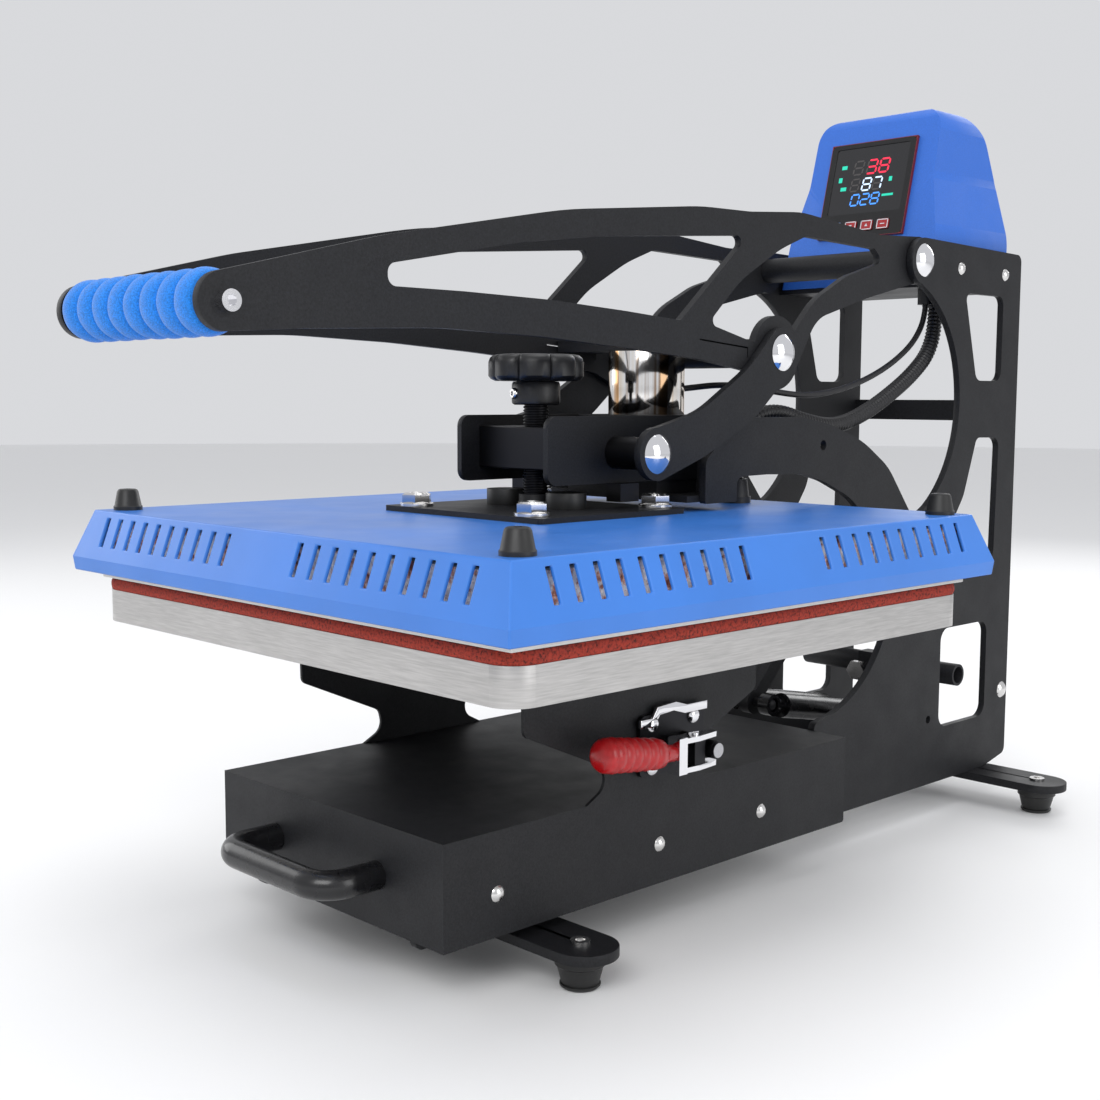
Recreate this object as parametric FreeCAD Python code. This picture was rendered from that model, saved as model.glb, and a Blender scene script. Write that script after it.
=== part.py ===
import FreeCAD, Part
import math
import os

# Swing-arm heat press: a lever closes a heated head onto a platen, an electromagnet
# holds the lever shut, and the platen rides out on a drawer. Lengths are millimetres.
# Layout axes: X to the operator's right from the centre plane, Y rearwards from the
# lower platen's front edge, Z up from its underside. save() moves every piece to the
# part's frame, whose origin is under the middle of the machine on the bench.

# ---- driving dimensions --------------------------------------------------------
PLATEN = 380.0
PLATEN_TOP = 19.6
PAD_TOP = 26.3
HEAT_FACE = 26.6
LAYOUT_MIDDLE_Y = 282.8
FLOOR_Z = -176.0

PLATE_OUT = (71.0, 76.0)
PLATE_IN = (65.5, 70.5)
INSIDE = 65.4
DOME_TOP = 81.0
DOME_R = 11.8

LEVER_PIVOT = (508.0, 239.0)
LINK_TOP = (343.0, 169.0)
LINK_FOOT = (223.0, 106.0)
ARM_PIVOT = (508.0, 25.0)
HANDLE = (-68.9, 183.4)
SPRING_FRONT = (412.0, -82.0)
SPRING_REAR = (600.0, -118.0)
SPRING_X = 17.0
STOP_X = 56.0
STOP_Z = -58.0

PIN_R = 6.0
ARM_PIN_R = 8.0
RUNNING = 0.06
FREE = 0.15
APART = 0.3

SPINDLE_Y = 194.0
SPINDLE_R = 8.0
COVER_TOP = 68.7
PLATE_TOP = 72.0

SHELL_X = 103.7
SHEET = 2.0
SHELL_TOP = -87.0
SHELL_BOTTOM = -145.0
SHELL_FRONT = 32.0
SHELL_REAR = 383.0
BASE_BOTTOM = -152.0
FOOT_BAR_BOTTOM = -158.0
FOOT_Y = (109.0, 607.0)
FOOT_X = 126.0
RAIL_Z = -114.0

BRACKET_LOW = 222.0
BRACKET_SCREWS = ((558.0, 236.0), (622.0, 235.0))

BOX_X = 66.0
BOX_FLOOR = 225.5
FACE_Y = 537.0
FACE_Z = 264.0
FACE_TILT = 14.2
BUTTON_X = (-23.0, -8.5, 6.0, 20.5)
BUTTON_UP = 7.0
BUTTON_HALF = (5.2, 3.9)

# Leads from the control box to the head and to the magnet, as corner points.
CONDUIT_R = 6.0
CABLE_R = 2.2
CONDUIT_ROUTE = [
    (46, 572, 221.6), (46, 573, 199), (46, 565, 175), (46, 541, 157), (45, 511, 141), (44, 479, 127),
    (43, 447, 119), (40, 417, 123), (36, 389, 131), (32, 366, 126), (30, 354, 105), (30, 353, 78),
]
CABLE_ROUTE = [
    (52, 549, 221.8), (52, 549.6, 203), (52, 536, 183), (51, 511, 167), (50, 479, 154), (47, 446, 145),
    (43, 414, 141), (37, 384, 144), (30, 361, 148), (17, 347, 148.5), (3.6, 337, 146.5), (1, 320.7, 145),
]

SIDES = (-1, 1)
VECTOR = FreeCAD.Vector
X_AXIS = VECTOR(1, 0, 0)
Y_AXIS = VECTOR(0, 1, 0)
Z_AXIS = VECTOR(0, 0, 1)


# ---- shape helpers ---------------------------------------------------------------
def box(x0, x1, y0, y1, z0, z1):
    return Part.makeBox(x1 - x0, y1 - y0, z1 - z0, VECTOR(x0, y0, z0))


def bar_x(x0, x1, y, z, radius):
    return Part.makeCylinder(radius, x1 - x0, VECTOR(x0, y, z), X_AXIS)


def bar_y(y0, y1, x, z, radius):
    return Part.makeCylinder(radius, y1 - y0, VECTOR(x, y0, z), Y_AXIS)


def bar_z(z0, z1, x, y, radius):
    return Part.makeCylinder(radius, z1 - z0, VECTOR(x, y, z0), Z_AXIS)


def bar_along(start, toward, first, last, radius):
    """Round bar on the line from start to toward, between two distances from start."""
    base = VECTOR(*start)
    direction = (VECTOR(*toward) - base).normalize()
    return Part.makeCylinder(radius, last - first, base + direction * first, direction)


def cone_z(z0, z1, x, y, low_radius, high_radius):
    return Part.makeCone(low_radius, high_radius, z1 - z0, VECTOR(x, y, z0), Z_AXIS)


def other_side(shape):
    return shape.mirror(VECTOR(0, 0, 0), X_AXIS)


def fuse(shapes):
    whole = shapes[0].multiFuse(shapes[1:])
    return whole.removeSplitter()


def place_point(plane, u, v, level):
    if plane == "side":
        return VECTOR(level, u, v)
    if plane == "top":
        return VECTOR(u, v, level)
    return VECTOR(u, level, v)


def unit(u, v):
    length = math.hypot(u, v)
    return u / length, v / length


def outline_wire(corners, plane, level):
    """Closed wire through corners (u, v) or (u, v, radius), rounded where a radius is given."""
    stretches = []
    for index, corner in enumerate(corners):
        u, v = corner[0], corner[1]
        radius = corner[2] if len(corner) > 2 else 0.0
        if radius == 0.0:
            stretches.append(((u, v), None, (u, v)))
            continue
        before = corners[index - 1]
        after = corners[(index + 1) % len(corners)]
        back = unit(before[0] - u, before[1] - v)
        ahead = unit(after[0] - u, after[1] - v)
        half = math.acos(max(-1.0, min(1.0, back[0] * ahead[0] + back[1] * ahead[1]))) / 2
        reach = radius / math.tan(half)
        inward = unit(back[0] + ahead[0], back[1] + ahead[1])
        depth = radius / math.sin(half) - radius
        start = (u + back[0] * reach, v + back[1] * reach)
        middle = (u + inward[0] * depth, v + inward[1] * depth)
        end = (u + ahead[0] * reach, v + ahead[1] * reach)
        stretches.append((start, middle, end))
    edges = []
    for index, (start, middle, end) in enumerate(stretches):
        if middle is not None:
            points = [place_point(plane, p[0], p[1], level) for p in (start, middle, end)]
            edges.append(Part.Arc(*points).toShape())
        following = stretches[(index + 1) % len(stretches)][0]
        if math.hypot(following[0] - end[0], following[1] - end[1]) > 1e-3:
            first = place_point(plane, end[0], end[1], level)
            last = place_point(plane, following[0], following[1], level)
            edges.append(Part.LineSegment(first, last).toShape())
    return Part.Wire(edges)


def slab(corners, plane, low, high):
    """Solid of an outline between two levels of the axis across its plane."""
    face = Part.Face(outline_wire(corners, plane, low))
    return face.extrude(place_point(plane, 0, 0, high - low))


def side_plate(outline, span, windows=(), rounds=(), holes=()):
    """Plate across X: an outline less its windows, with round ends added and holes cut."""
    plate = slab(outline, "side", span[0], span[1])
    for window in windows:
        plate = plate.cut(slab(window, "side", span[0] - 1, span[1] + 1))
    discs = [bar_x(span[0], span[1], y, z, radius) for y, z, radius in rounds]
    if discs:
        plate = fuse([plate] + discs)
    for y, z, radius in holes:
        plate = plate.cut(bar_x(span[0] - 1, span[1] + 1, y, z, radius))
    return plate


def rounded_rectangle(u0, u1, v0, v1, radius):
    return [(u0, v0, radius), (u1, v0, radius), (u1, v1, radius), (u0, v1, radius)]


def tube(outer, inner):
    return outer.cut(inner)


def dome_x(x_face, x_top, y, z, radius):
    """Low rounded cap that stands out along X from x_face to x_top."""
    height = abs(x_top - x_face)
    sphere_r = (radius * radius + height * height) / (2 * height)
    outward = 1 if x_top > x_face else -1
    ball = Part.makeSphere(sphere_r, VECTOR(x_top - outward * sphere_r, y, z))
    low, high = sorted((x_face, x_top))
    return ball.common(bar_x(low, high, y, z, radius))


def hexagon(u, v, across_flats):
    corner_r = across_flats / math.sqrt(3)
    angles = [math.radians(60 * step) for step in range(6)]
    return [(u + corner_r * math.cos(angle), v + corner_r * math.sin(angle)) for angle in angles]


def save(name, solids):
    """Write one node: a solid, or separate solids of one kind."""
    shape = solids if not isinstance(solids, list) else Part.makeCompound(solids)
    moved = shape.copy()
    moved.translate(VECTOR(0, -LAYOUT_MIDDLE_Y, -FLOOR_Z))
    moved.exportStep(os.path.join("parts", name + ".step"))


# ---- base frame ----------------------------------------------------------------------
def frame_side():
    outline = [
        (491.6, 255.4, 16.3), (558.5, 253.7), (646, 251.5, 6), (646, -145, 6), (613, -152, 40),
        (36, BASE_BOTTOM, 5), (36, -95, 8), (386, -95, 6), (386, -82.7, 5), (446.5, -74, 95),
        (486, 2, 22), (488, 44, 16), (520.4, 60.7, 6), (565.4, 91, 90), (555.9, 199.9, 90),
        (505.2, 221.6, 3), (491.6, 222.6, 16.3),
    ]
    upper_window = [(565, 218.4, 5), (584, 153.4, 8), (620.3, 153.4, 8), (620.6, 218.4, 7)]
    lower_window = [(587.5, 110, 6), (571, 66, 30), (545, 32, 12), (560, 10, 12), (618, 10, 12), (620.5, 109.5, 8)]
    base_window = [(545, -34, 10), (612, -34, 10), (612, -110, 10), (545, -110, 10)]
    holes = [
        LEVER_PIVOT + (PIN_R + RUNNING,), ARM_PIVOT + (ARM_PIN_R + RUNNING,),
        (558, 236, 2.6), (622, 235, 2.6), (530.5, -101.6, 3.0),
    ]
    return side_plate(outline, PLATE_OUT, [upper_window, lower_window, base_window], (), holes)


def control_bracket():
    """A shelf for the control box, with a tab screwed to each frame side."""
    pieces = [box(-70.9, 70.9, 530, 636, BRACKET_LOW, 225.4)]
    for side in SIDES:
        low, high = sorted((side * 67.2, side * 70.9))
        tab = box(low, high, 546, 634, 225.42, 247)
        for y, z in BRACKET_SCREWS:
            tab = tab.cut(bar_x(low - 1, high + 1, y, z, 2.6))
        pieces.append(tab)
    return pieces


def make_frame():
    side = frame_side()
    save("frame_side_right", side)
    save("frame_side_left", other_side(side))
    rear_bar = box(-71, 71, 640, 646, 122, 138.5)
    low_tube = tube(bar_x(-71, 71, 580, -74.5, 8.5), bar_x(-71, 71, 580, -74.5, 6.5))
    front_plate = box(-71, 71, 90, 128, -152, -147)
    rear_plate = box(-71, 71, 588, 626, -152, -147)

    anchor_bar = box(-71, 71, 606, 622, -146.9, -131)
    anchor_plate = slab([(588, -108, 8), (612, -108, 8), (618, -130.98), (606, -130.98)], "side", -4, 4)
    studs = bar_x(-12.2, 12.2, SPRING_REAR[0], SPRING_REAR[1], 4)
    spring_anchor = fuse([anchor_plate, studs])

    lugs = []
    for side in SIDES:
        low, high = sorted((side * 48, side * 70.9))
        lug = box(low, high, 478, 490, -70, -46)
        lugs.append(lug.cut(bar_y(477, 491, side * STOP_X, STOP_Z, 4 + FREE)))
    members = [rear_bar, low_tube, front_plate, rear_plate, anchor_bar, spring_anchor]
    save("frame_cross_members", members + control_bracket() + lugs)


def foot_bar(y):
    return slab(rounded_rectangle(-148, 148, y - 19, y + 19, 18.9), "top", FOOT_BAR_BOTTOM, BASE_BOTTOM)


def make_feet():
    bars = []
    feet = []
    screws = []
    for y in FOOT_Y:
        bar = foot_bar(y)
        for side in SIDES:
            x = side * FOOT_X
            bar = bar.cut(bar_z(FOOT_BAR_BOTTOM - 1, BASE_BOTTOM + 1, x, y, 3 + FREE))
            foot = cone_z(FLOOR_Z, FOOT_BAR_BOTTOM, x, y, 11, 14)
            feet.append(foot.cut(bar_z(FLOOR_Z + 8, FOOT_BAR_BOTTOM, x, y, 3 + FREE)))
            head = bar_z(BASE_BOTTOM, BASE_BOTTOM + 1.6, x, y, 5.5)
            screw = fuse([head, bar_z(FLOOR_Z + 9, BASE_BOTTOM, x, y, 3)])
            socket = slab(hexagon(x, y, 5), "top", BASE_BOTTOM + 0.4, BASE_BOTTOM + 2)
            screws.append(screw.cut(socket))
        bars.append(bar)
    save("foot_bars", bars)
    save("rubber_feet", feet)
    return screws


def make_frame_pins(foot_screws):
    shafts = []
    for (y, z), radius in ((LEVER_PIVOT, PIN_R), (ARM_PIVOT, ARM_PIN_R)):
        shaft = bar_x(-PLATE_OUT[1], PLATE_OUT[1], y, z, radius)
        caps = [dome_x(side * PLATE_OUT[1], side * DOME_TOP, y, z, DOME_R) for side in SIDES]
        shafts.append(fuse([shaft] + caps))
    save("frame_pivot_shafts", shafts)

    screws = list(foot_screws)
    for side in SIDES:
        for y, z in BRACKET_SCREWS:
            head = dome_x(side * 76, side * 78.5, y, z, 4.6)
            low, high = sorted((side * 67, side * 76))
            screws.append(fuse([head, bar_x(low, high, y, z, 2.5)]))
        screws.append(dome_x(side * 76, side * 79, 638, -93, 6.5))
        x = side * STOP_X
        head = slab(hexagon(x, STOP_Z, 13), "front", 462, 467.5)
        screws.append(fuse([head, bar_y(467.5, 498, x, STOP_Z, 4)]))
    save("frame_screws", screws)


# ---- telescopic rails ------------------------------------------------------------------
def rail(x_web, x_lips, half_height, y0, y1):
    """C-shaped rail: a web at x_web with lips that reach to x_lips."""
    low, high = sorted((x_web, x_web + 1.5))
    web = box(low, high, y0, y1, RAIL_Z - half_height, RAIL_Z + half_height)
    near, far = sorted((x_web, x_lips))
    lower_lip = box(near, far, y0, y1, RAIL_Z - half_height, RAIL_Z - half_height + 1.5)
    upper_lip = box(near, far, y0, y1, RAIL_Z + half_height - 1.5, RAIL_Z + half_height)
    return fuse([web, lower_lip, upper_lip])


def make_rails():
    outer = rail(76.1, 86.5, 17.5, 46, 372)
    middle = rail(79.0, 89.0, 15.5, 44, 370)
    inner = box(82.0, 90.5, 42, 368, RAIL_Z - 11, RAIL_Z + 11)
    save("slide_rails_outer", [outer, other_side(outer)])
    save("slide_rails_middle", [middle, other_side(middle)])
    spacer = box(90.6, SHELL_X - SHEET - 0.05, 60, 350, RAIL_Z - 8, RAIL_Z + 8)
    save("slide_rails_inner", [inner, other_side(inner), spacer, other_side(spacer)])


# ---- lever -----------------------------------------------------------------------------
def make_lever():
    outline = [
        (-73, 196.8), (-42, 204.3, 150), (22, 220, 300), (150, 244, 400), (265, 256, 250),
        (313.6, 256.9, 80), (367, 261.2, 110), (458, 253.5, 60), (508, 255.9), (503, 222.4),
        (444, 209, 200), (385.7, 192.5, 30), (360, 152), (330, 149.5), (313, 157, 30),
        (267, 163.3, 200), (200, 168.7, 300), (134, 173, 300), (60, 175.5, 300),
        (-25.6, 172.3, 100), (-68, 169.5),
    ]
    long_window = [
        (25.1, 206.2, 5.3), (118.8, 223.8, 300), (182, 231.8, 300), (312.5, 242, 4),
        (248, 186.4, 4), (199.7, 190, 100), (137, 193.6, 300), (75, 195, 300), (25.1, 195.2, 5.3),
    ]
    rear_window = [
        (372.7, 246, 14), (344.6, 235.4, 120), (304.8, 213.4, 80), (274, 185.5, 4), (313, 176.5),
        (350, 172), (383.8, 205.2, 60), (419.6, 222.8, 60), (463, 235, 4), (452, 243.6, 4),
    ]
    fold_slit = [(266, 176), (313.5, 172), (313.5, 165.5), (312.5, 165.5), (312.5, 171.1), (266, 175)]
    rounds = [LEVER_PIVOT + (17,), LINK_TOP + (24,), HANDLE + (14,)]
    holes = [LEVER_PIVOT + (PIN_R + RUNNING,), LINK_TOP + (PIN_R,), HANDLE + (4.1,)]
    side = side_plate(outline, PLATE_IN, [long_window, rear_window, fold_slit], rounds, holes)
    save("lever_sides", [side, other_side(side)])

    y, z = HANDLE
    handle_tube = tube(bar_x(-INSIDE, INSIDE, y, z, 11), bar_x(-INSIDE, INSIDE, y, z, 4.1))
    grip = bar_x(-64, 64, y, z, 15.3)
    for ring in range(8):
        ring_x = -52.5 + 15 * ring
        ring_body = tube(bar_x(ring_x - 1.5, ring_x + 1.5, y, z, 16.3), bar_x(ring_x - 1.5, ring_x + 1.5, y, z, 15))
        grip = grip.fuse(ring_body)
    save("foam_grip", grip.removeSplitter().cut(bar_x(-65, 65, y, z, 11.05)))
    bolts = []
    for side_sign in SIDES:
        low, high = sorted((side_sign * 70.5, side_sign * 76.5))
        head = bar_x(low, high, y, z, 5.2)
        shank_low, shank_high = sorted((side_sign * 30, side_sign * 70.5))
        socket_low, socket_high = sorted((side_sign * 73, side_sign * 77))
        bolt = fuse([head, bar_x(shank_low, shank_high, y, z, 4)])
        bolts.append(bolt.cut(bar_x(socket_low, socket_high, y, z, 2.6)))

    armature = slab(rounded_rectangle(-INSIDE, INSIDE, 275, 315, 2), "top", 170.3, 178)
    save("armature_plate", armature)
    y, z = LEVER_PIVOT
    pivot_tube = tube(bar_x(-INSIDE, INSIDE, y, z, 9.5), bar_x(-INSIDE, INSIDE, y, z, PIN_R + RUNNING))
    y, z = LINK_TOP
    link_tube = tube(bar_x(-INSIDE, INSIDE, y, z, 9.5), bar_x(-INSIDE, INSIDE, y, z, PIN_R))
    save("lever_cross_tubes", [handle_tube, pivot_tube, link_tube])
    caps = [dome_x(s * (PLATE_OUT[1] + APART), s * DOME_TOP, y, z, DOME_R) for s in SIDES]
    shaft = bar_x(-PLATE_OUT[1] - APART, PLATE_OUT[1] + APART, y, z, PIN_R)
    save("lever_pins", [fuse([shaft] + caps)] + bolts)


def make_links():
    outline = [
        (216, 120.4), (262, 131.5, 80), (308.5, 158.5, 80), (333, 182), (354, 157), (333, 141.5, 40),
        (315, 127, 60), (267, 104, 80), (229, 91.2),
    ]
    rounds = [LINK_TOP + (16,), LINK_FOOT + (16,)]
    holes = [LINK_TOP + (PIN_R + RUNNING,), LINK_FOOT + (PIN_R,)]
    link = side_plate(outline, PLATE_OUT, (), rounds, holes)
    save("links", [link, other_side(link)])
    y, z = LINK_FOOT
    caps = []
    for side in SIDES:
        low, high = sorted((side * PLATE_OUT[0], side * PLATE_OUT[1]))
        caps.append(fuse([bar_x(low, high, y, z, PIN_R), dome_x(side * 76, side * DOME_TOP, y, z, DOME_R)]))
    save("link_pivot_caps", caps)


# ---- arm ---------------------------------------------------------------------------------
def make_arm():
    outline = [
        (273.5, 73.5, 2), (273.5, 101, 10), (306, 127.2, 20), (372.5, 127.2, 60), (407, 121.4, 60),
        (444, 109.6, 100), (476.4, 90.8, 60), (524, 36), (495, 10), (436, 67, 60), (424, 73.2, 60),
        (397, 83.7, 80), (374, 88.8, 60), (335.7, 90, 20), (304.6, 89.5, 6), (304.6, 73.5, 2),
    ]
    rounds = [ARM_PIVOT + (20,)]
    holes = [ARM_PIVOT + (ARM_PIN_R + RUNNING,), (396.8, 107.8, 3.5)]
    side = side_plate(outline, PLATE_IN, (), rounds, holes)
    save("arm_sides", [side, other_side(side)])

    y, z = ARM_PIVOT
    pivot_tube = tube(bar_x(-INSIDE, INSIDE, y, z, 11.5), bar_x(-INSIDE, INSIDE, y, z, ARM_PIN_R + RUNNING))
    tail_outline = [(500, 12), (404, -82), (420, -82), (518, 14)]
    tail = side_plate(tail_outline, (-4, 4), (), [SPRING_FRONT + (9,)], [ARM_PIVOT + (11.6,)])
    studs = []
    ball_y, ball_z = SPRING_FRONT
    for side in SIDES:
        low, high = sorted((side * 4, side * SPRING_X))
        centre = VECTOR(side * SPRING_X, ball_y, ball_z)
        ball = Part.makeSphere(5, centre)
        ball.rotate(centre, Z_AXIS, 90)
        studs.append(fuse([bar_x(low, high, ball_y, ball_z, 3), ball]))
    save("arm_tail", [pivot_tube, tail] + studs)

    beam_side = [(165, 87.3, 7), (165, 128.5, 7), (304.5, 128.5), (304.5, 87.3, 1)]
    pieces = []
    for side in SIDES:
        low, high = sorted((side * 37, side * 41))
        pieces.append(slab(beam_side, "side", low, high))
    pieces.append(box(-39, 39, 268, 322, 123.5, 128.5))
    pieces.append(box(-INSIDE, INSIDE, 300, 304.5, 74.5, 124))
    pieces.append(box(-INSIDE, INSIDE, 262, 304.5, 74.5, 78.5))
    pieces.append(box(-40, 40, 262, 302, 76, 89))
    beam = fuse(pieces)
    y, z = LINK_FOOT
    beam = beam.cut(bar_x(-42, 42, y, z, PIN_R + 0.02))
    save("press_beam", beam.cut(bar_z(120, 130, 0, 295, 4.1)))

    block = slab([(180, 95.5, 1), (212, 95.5, 1), (212, 121.8, 1), (180, 121.8, 1)], "side", -36.95, 36.95)
    block = block.cut(bar_z(90, 125, 0, SPINDLE_Y, SPINDLE_R + RUNNING))
    spacers = []
    for side in SIDES:
        low, high = sorted((side * 41.05, side * INSIDE))
        spacers.append(tube(bar_x(low, high, y, z, 10), bar_x(low, high, y, z, PIN_R + 0.02)))
    shaft = bar_x(-PLATE_OUT[0] + APART, PLATE_OUT[0] - APART, y, z, PIN_R)
    save("link_foot_shaft", [shaft] + spacers)
    guides = [box(37, 49, 219, 235.4, 76, 87.2), box(-49, -37, 219, 235.4, 76, 87.2)]
    save("beam_blocks", [block] + guides)

    magnet = bar_z(128.6, 169.9, 0, 295, 25.25)
    magnet = magnet.cut(tube(bar_z(168.4, 171, 0, 295, 20), bar_z(168.4, 171, 0, 295, 11)))
    face_ring = tube(bar_z(168.45, 169.7, 0, 295, 19.9), bar_z(168, 170, 0, 295, 11.1))
    save("electromagnet", [fuse([magnet, bar_z(118, 128.6, 0, 295, 4)]), face_ring])


# ---- gas springs --------------------------------------------------------------------------
def make_gas_springs():
    dy = SPRING_REAR[0] - SPRING_FRONT[0]
    dz = SPRING_REAR[1] - SPRING_FRONT[1]
    length = math.hypot(dy, dz)
    along = VECTOR(0, dy / length, dz / length)

    def run(x, start, end, radius):
        base = VECTOR(x, SPRING_FRONT[0], SPRING_FRONT[1]) + along * start
        return Part.makeCylinder(radius, end - start, base, along)

    cylinders = []
    rods = []
    for side in SIDES:
        x = side * SPRING_X
        low, high = sorted((x - 4.4, x + 4.4))
        body = fuse([run(x, 14, 118, 9), run(x, 6, 16, 5), bar_x(low, high, *SPRING_FRONT, 8)])
        body = body.cut(run(x, 22, 110, 7.5)).cut(run(x, 108, 119, 4 + RUNNING))
        cylinders.append(body.cut(bar_x(low - 1, high + 1, *SPRING_FRONT, 5 + RUNNING)))
        eye = bar_x(low, high, *SPRING_REAR, 7)
        rods.append(fuse([run(x, 41, length - 5, 4), run(x, 38, 44, 7.44), eye]))
    save("gas_spring_cylinders", cylinders)
    save("gas_spring_rods", rods)


# ---- heated head ----------------------------------------------------------------------------
def cover_block(inset):
    """Outer form of the head cover, moved in by the given amount all round and on top."""
    levels = [(31.3, 202.5), (39.8, 203.5), (COVER_TOP - inset, 193.0)]
    middle = PLATEN / 2
    loops = []
    for z, half in levels:
        half -= inset
        loops.append(Part.makePolygon([
            VECTOR(-half, middle - half, z), VECTOR(half, middle - half, z),
            VECTOR(half, middle + half, z), VECTOR(-half, middle + half, z), VECTOR(-half, middle - half, z)]))
    lower = Part.makeLoft(loops[:2], True, True)
    upper = Part.makeLoft(loops[1:], True, True)
    return fuse([lower, upper])


BOLT_PLACES = [(-52.5, 141.5), (52.5, 141.5), (-52.5, 246.5), (52.5, 246.5)]


def make_head_cover():
    inner = cover_block(1.6)
    inner = fuse([inner, inner.translated(VECTOR(0, 0, -3))])
    cover = cover_block(0).cut(inner)
    middle = PLATEN / 2
    slots = []
    for group in SIDES:
        for step in range(10):
            along = group * (34.5 + step * 15.2)
            for side in SIDES:
                slots.append(box(along - 2.1, along + 2.1, middle + side * 196 - 14, middle + side * 196 + 14, 47.5, 64.5))
                slots.append(box(side * 196 - 14, side * 196 + 14, middle + along - 2.1, middle + along + 2.1, 47.5, 64.5))
    cover = cover.cut(Part.makeCompound(slots))
    for x, y in BOLT_PLACES:
        cover = cover.cut(bar_z(60, 75, x, y, 4.1))
    cover = cover.cut(bar_z(60, 75, 30, 352, 6.1))
    save("heat_cover", cover)


def make_head():
    make_head_cover()
    heater = box(-190, 190, 0, PLATEN, HEAT_FACE, 40)
    groove_y = [25 + 66 * step for step in range(6)]
    save("heating_plate", heater)

    points = []
    for index, y in enumerate(groove_y):
        ends = (-150, 150) if index % 2 == 0 else (150, -150)
        points.append((ends[0], y))
        points.append((ends[1], y))
    edges = []
    for index in range(0, len(points), 2):
        x0, y0 = points[index]
        x1, y1 = points[index + 1]
        edges.append(Part.LineSegment(VECTOR(x0, y0, 43.2), VECTOR(x1, y1, 43.2)).toShape())
        if index + 2 < len(points):
            side = 1 if x1 > 0 else -1
            bend = Part.Arc(VECTOR(x1, y1, 43.2), VECTOR(x1 + side * 33, y1 + 33, 43.2), VECTOR(x1, y1 + 66, 43.2))
            edges.append(bend.toShape())
    path = Part.Wire(edges)
    section = Part.Wire([Part.Circle(VECTOR(-150, 25, 43.2), X_AXIS, 3).toShape()])
    element = path.makePipeShell([section], True, True)

    board = box(-184, 184, 6, 374, 47, 62)
    for x, y in BOLT_PLACES:
        board = board.cut(bar_z(40, 70, x, y, 5))
    save("insulation_board", board)
    probe = fuse([bar_y(188, 240, 0, 43, 1.6), bar_y(184, 190, 0, 43, 2.8)])
    save("heating_element", [element, probe, bar_z(40.1, 46.5, 90, 190, 8)])

    plate = slab(rounded_rectangle(-71.5, 71.5, 130.5, 254, 3), "top", COVER_TOP, PLATE_TOP)
    bolts = []
    for x, y in BOLT_PLACES:
        plate = plate.cut(bar_z(60, 75, x, y, 4.1))
        washer = bar_z(PLATE_TOP, PLATE_TOP + 2, x, y, 10.5)
        head = slab(hexagon(x, y, 17), "top", PLATE_TOP + 2, PLATE_TOP + 8.4)
        bolts.append(fuse([washer, head, bar_z(40.05, PLATE_TOP, x, y, 4)]))
    seat = bar_z(PLATE_TOP, 80, 0, SPINDLE_Y, 10.6)
    save("mounting_plate", fuse([plate, seat]).cut(bar_z(PLATE_TOP, 84, 0, SPINDLE_Y, SPINDLE_R + RUNNING)))
    save("mounting_bolts", bolts)
    save("guide_discs", [bar_z(PLATE_TOP, 82, side * 27, SPINDLE_Y, 12.5) for side in SIDES])
    bumpers = [cone_z(COVER_TOP, 81.7, side * 180, y, 8.8, 6) for side in SIDES for y in (13, 367)]
    save("cover_bumpers", bumpers)
    x, y = CONDUIT_ROUTE[-1][:2]
    gland = fuse([bar_z(COVER_TOP, 73, x, y, 10.5), cone_z(73, 85, x, y, 9.5, 8)])
    save("head_gland", gland.cut(bar_along(CONDUIT_ROUTE[-1], CONDUIT_ROUTE[-2], -12, 12, CONDUIT_R + 0.05)))


def make_spindle():
    save("spindle", bar_z(PLATE_TOP + 0.2, 158, 0, SPINDLE_Y, SPINDLE_R))
    collar = tube(bar_z(135, 149.5, 0, SPINDLE_Y, 15), bar_z(134, 150, 0, SPINDLE_Y, SPINDLE_R))
    middle = (0, SPINDLE_Y, 142)
    outward = (-0.25, SPINDLE_Y - 0.97, 142)
    collar = collar.cut(bar_along(middle, outward, SPINDLE_R - 1, 20, 2.1))
    set_screw = bar_along(middle, outward, SPINDLE_R, SPINDLE_R + 6, 2)
    knob = bar_z(149.6, 166, 0, SPINDLE_Y, 25.5)
    lobes = []
    for step in range(8):
        angle = math.radians(45 * step)
        lobes.append(bar_z(149.6, 166, 21.5 * math.cos(angle), SPINDLE_Y + 21.5 * math.sin(angle), 8))
    knob = fuse([knob] + lobes)
    knob = knob.cut(bar_z(149, 158.1, 0, SPINDLE_Y, SPINDLE_R))
    dish = Part.makeSphere(70, VECTOR(0, SPINDLE_Y, 163.5 + 70))
    save("pressure_knob", [knob.cut(dish), collar, set_screw])


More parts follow.
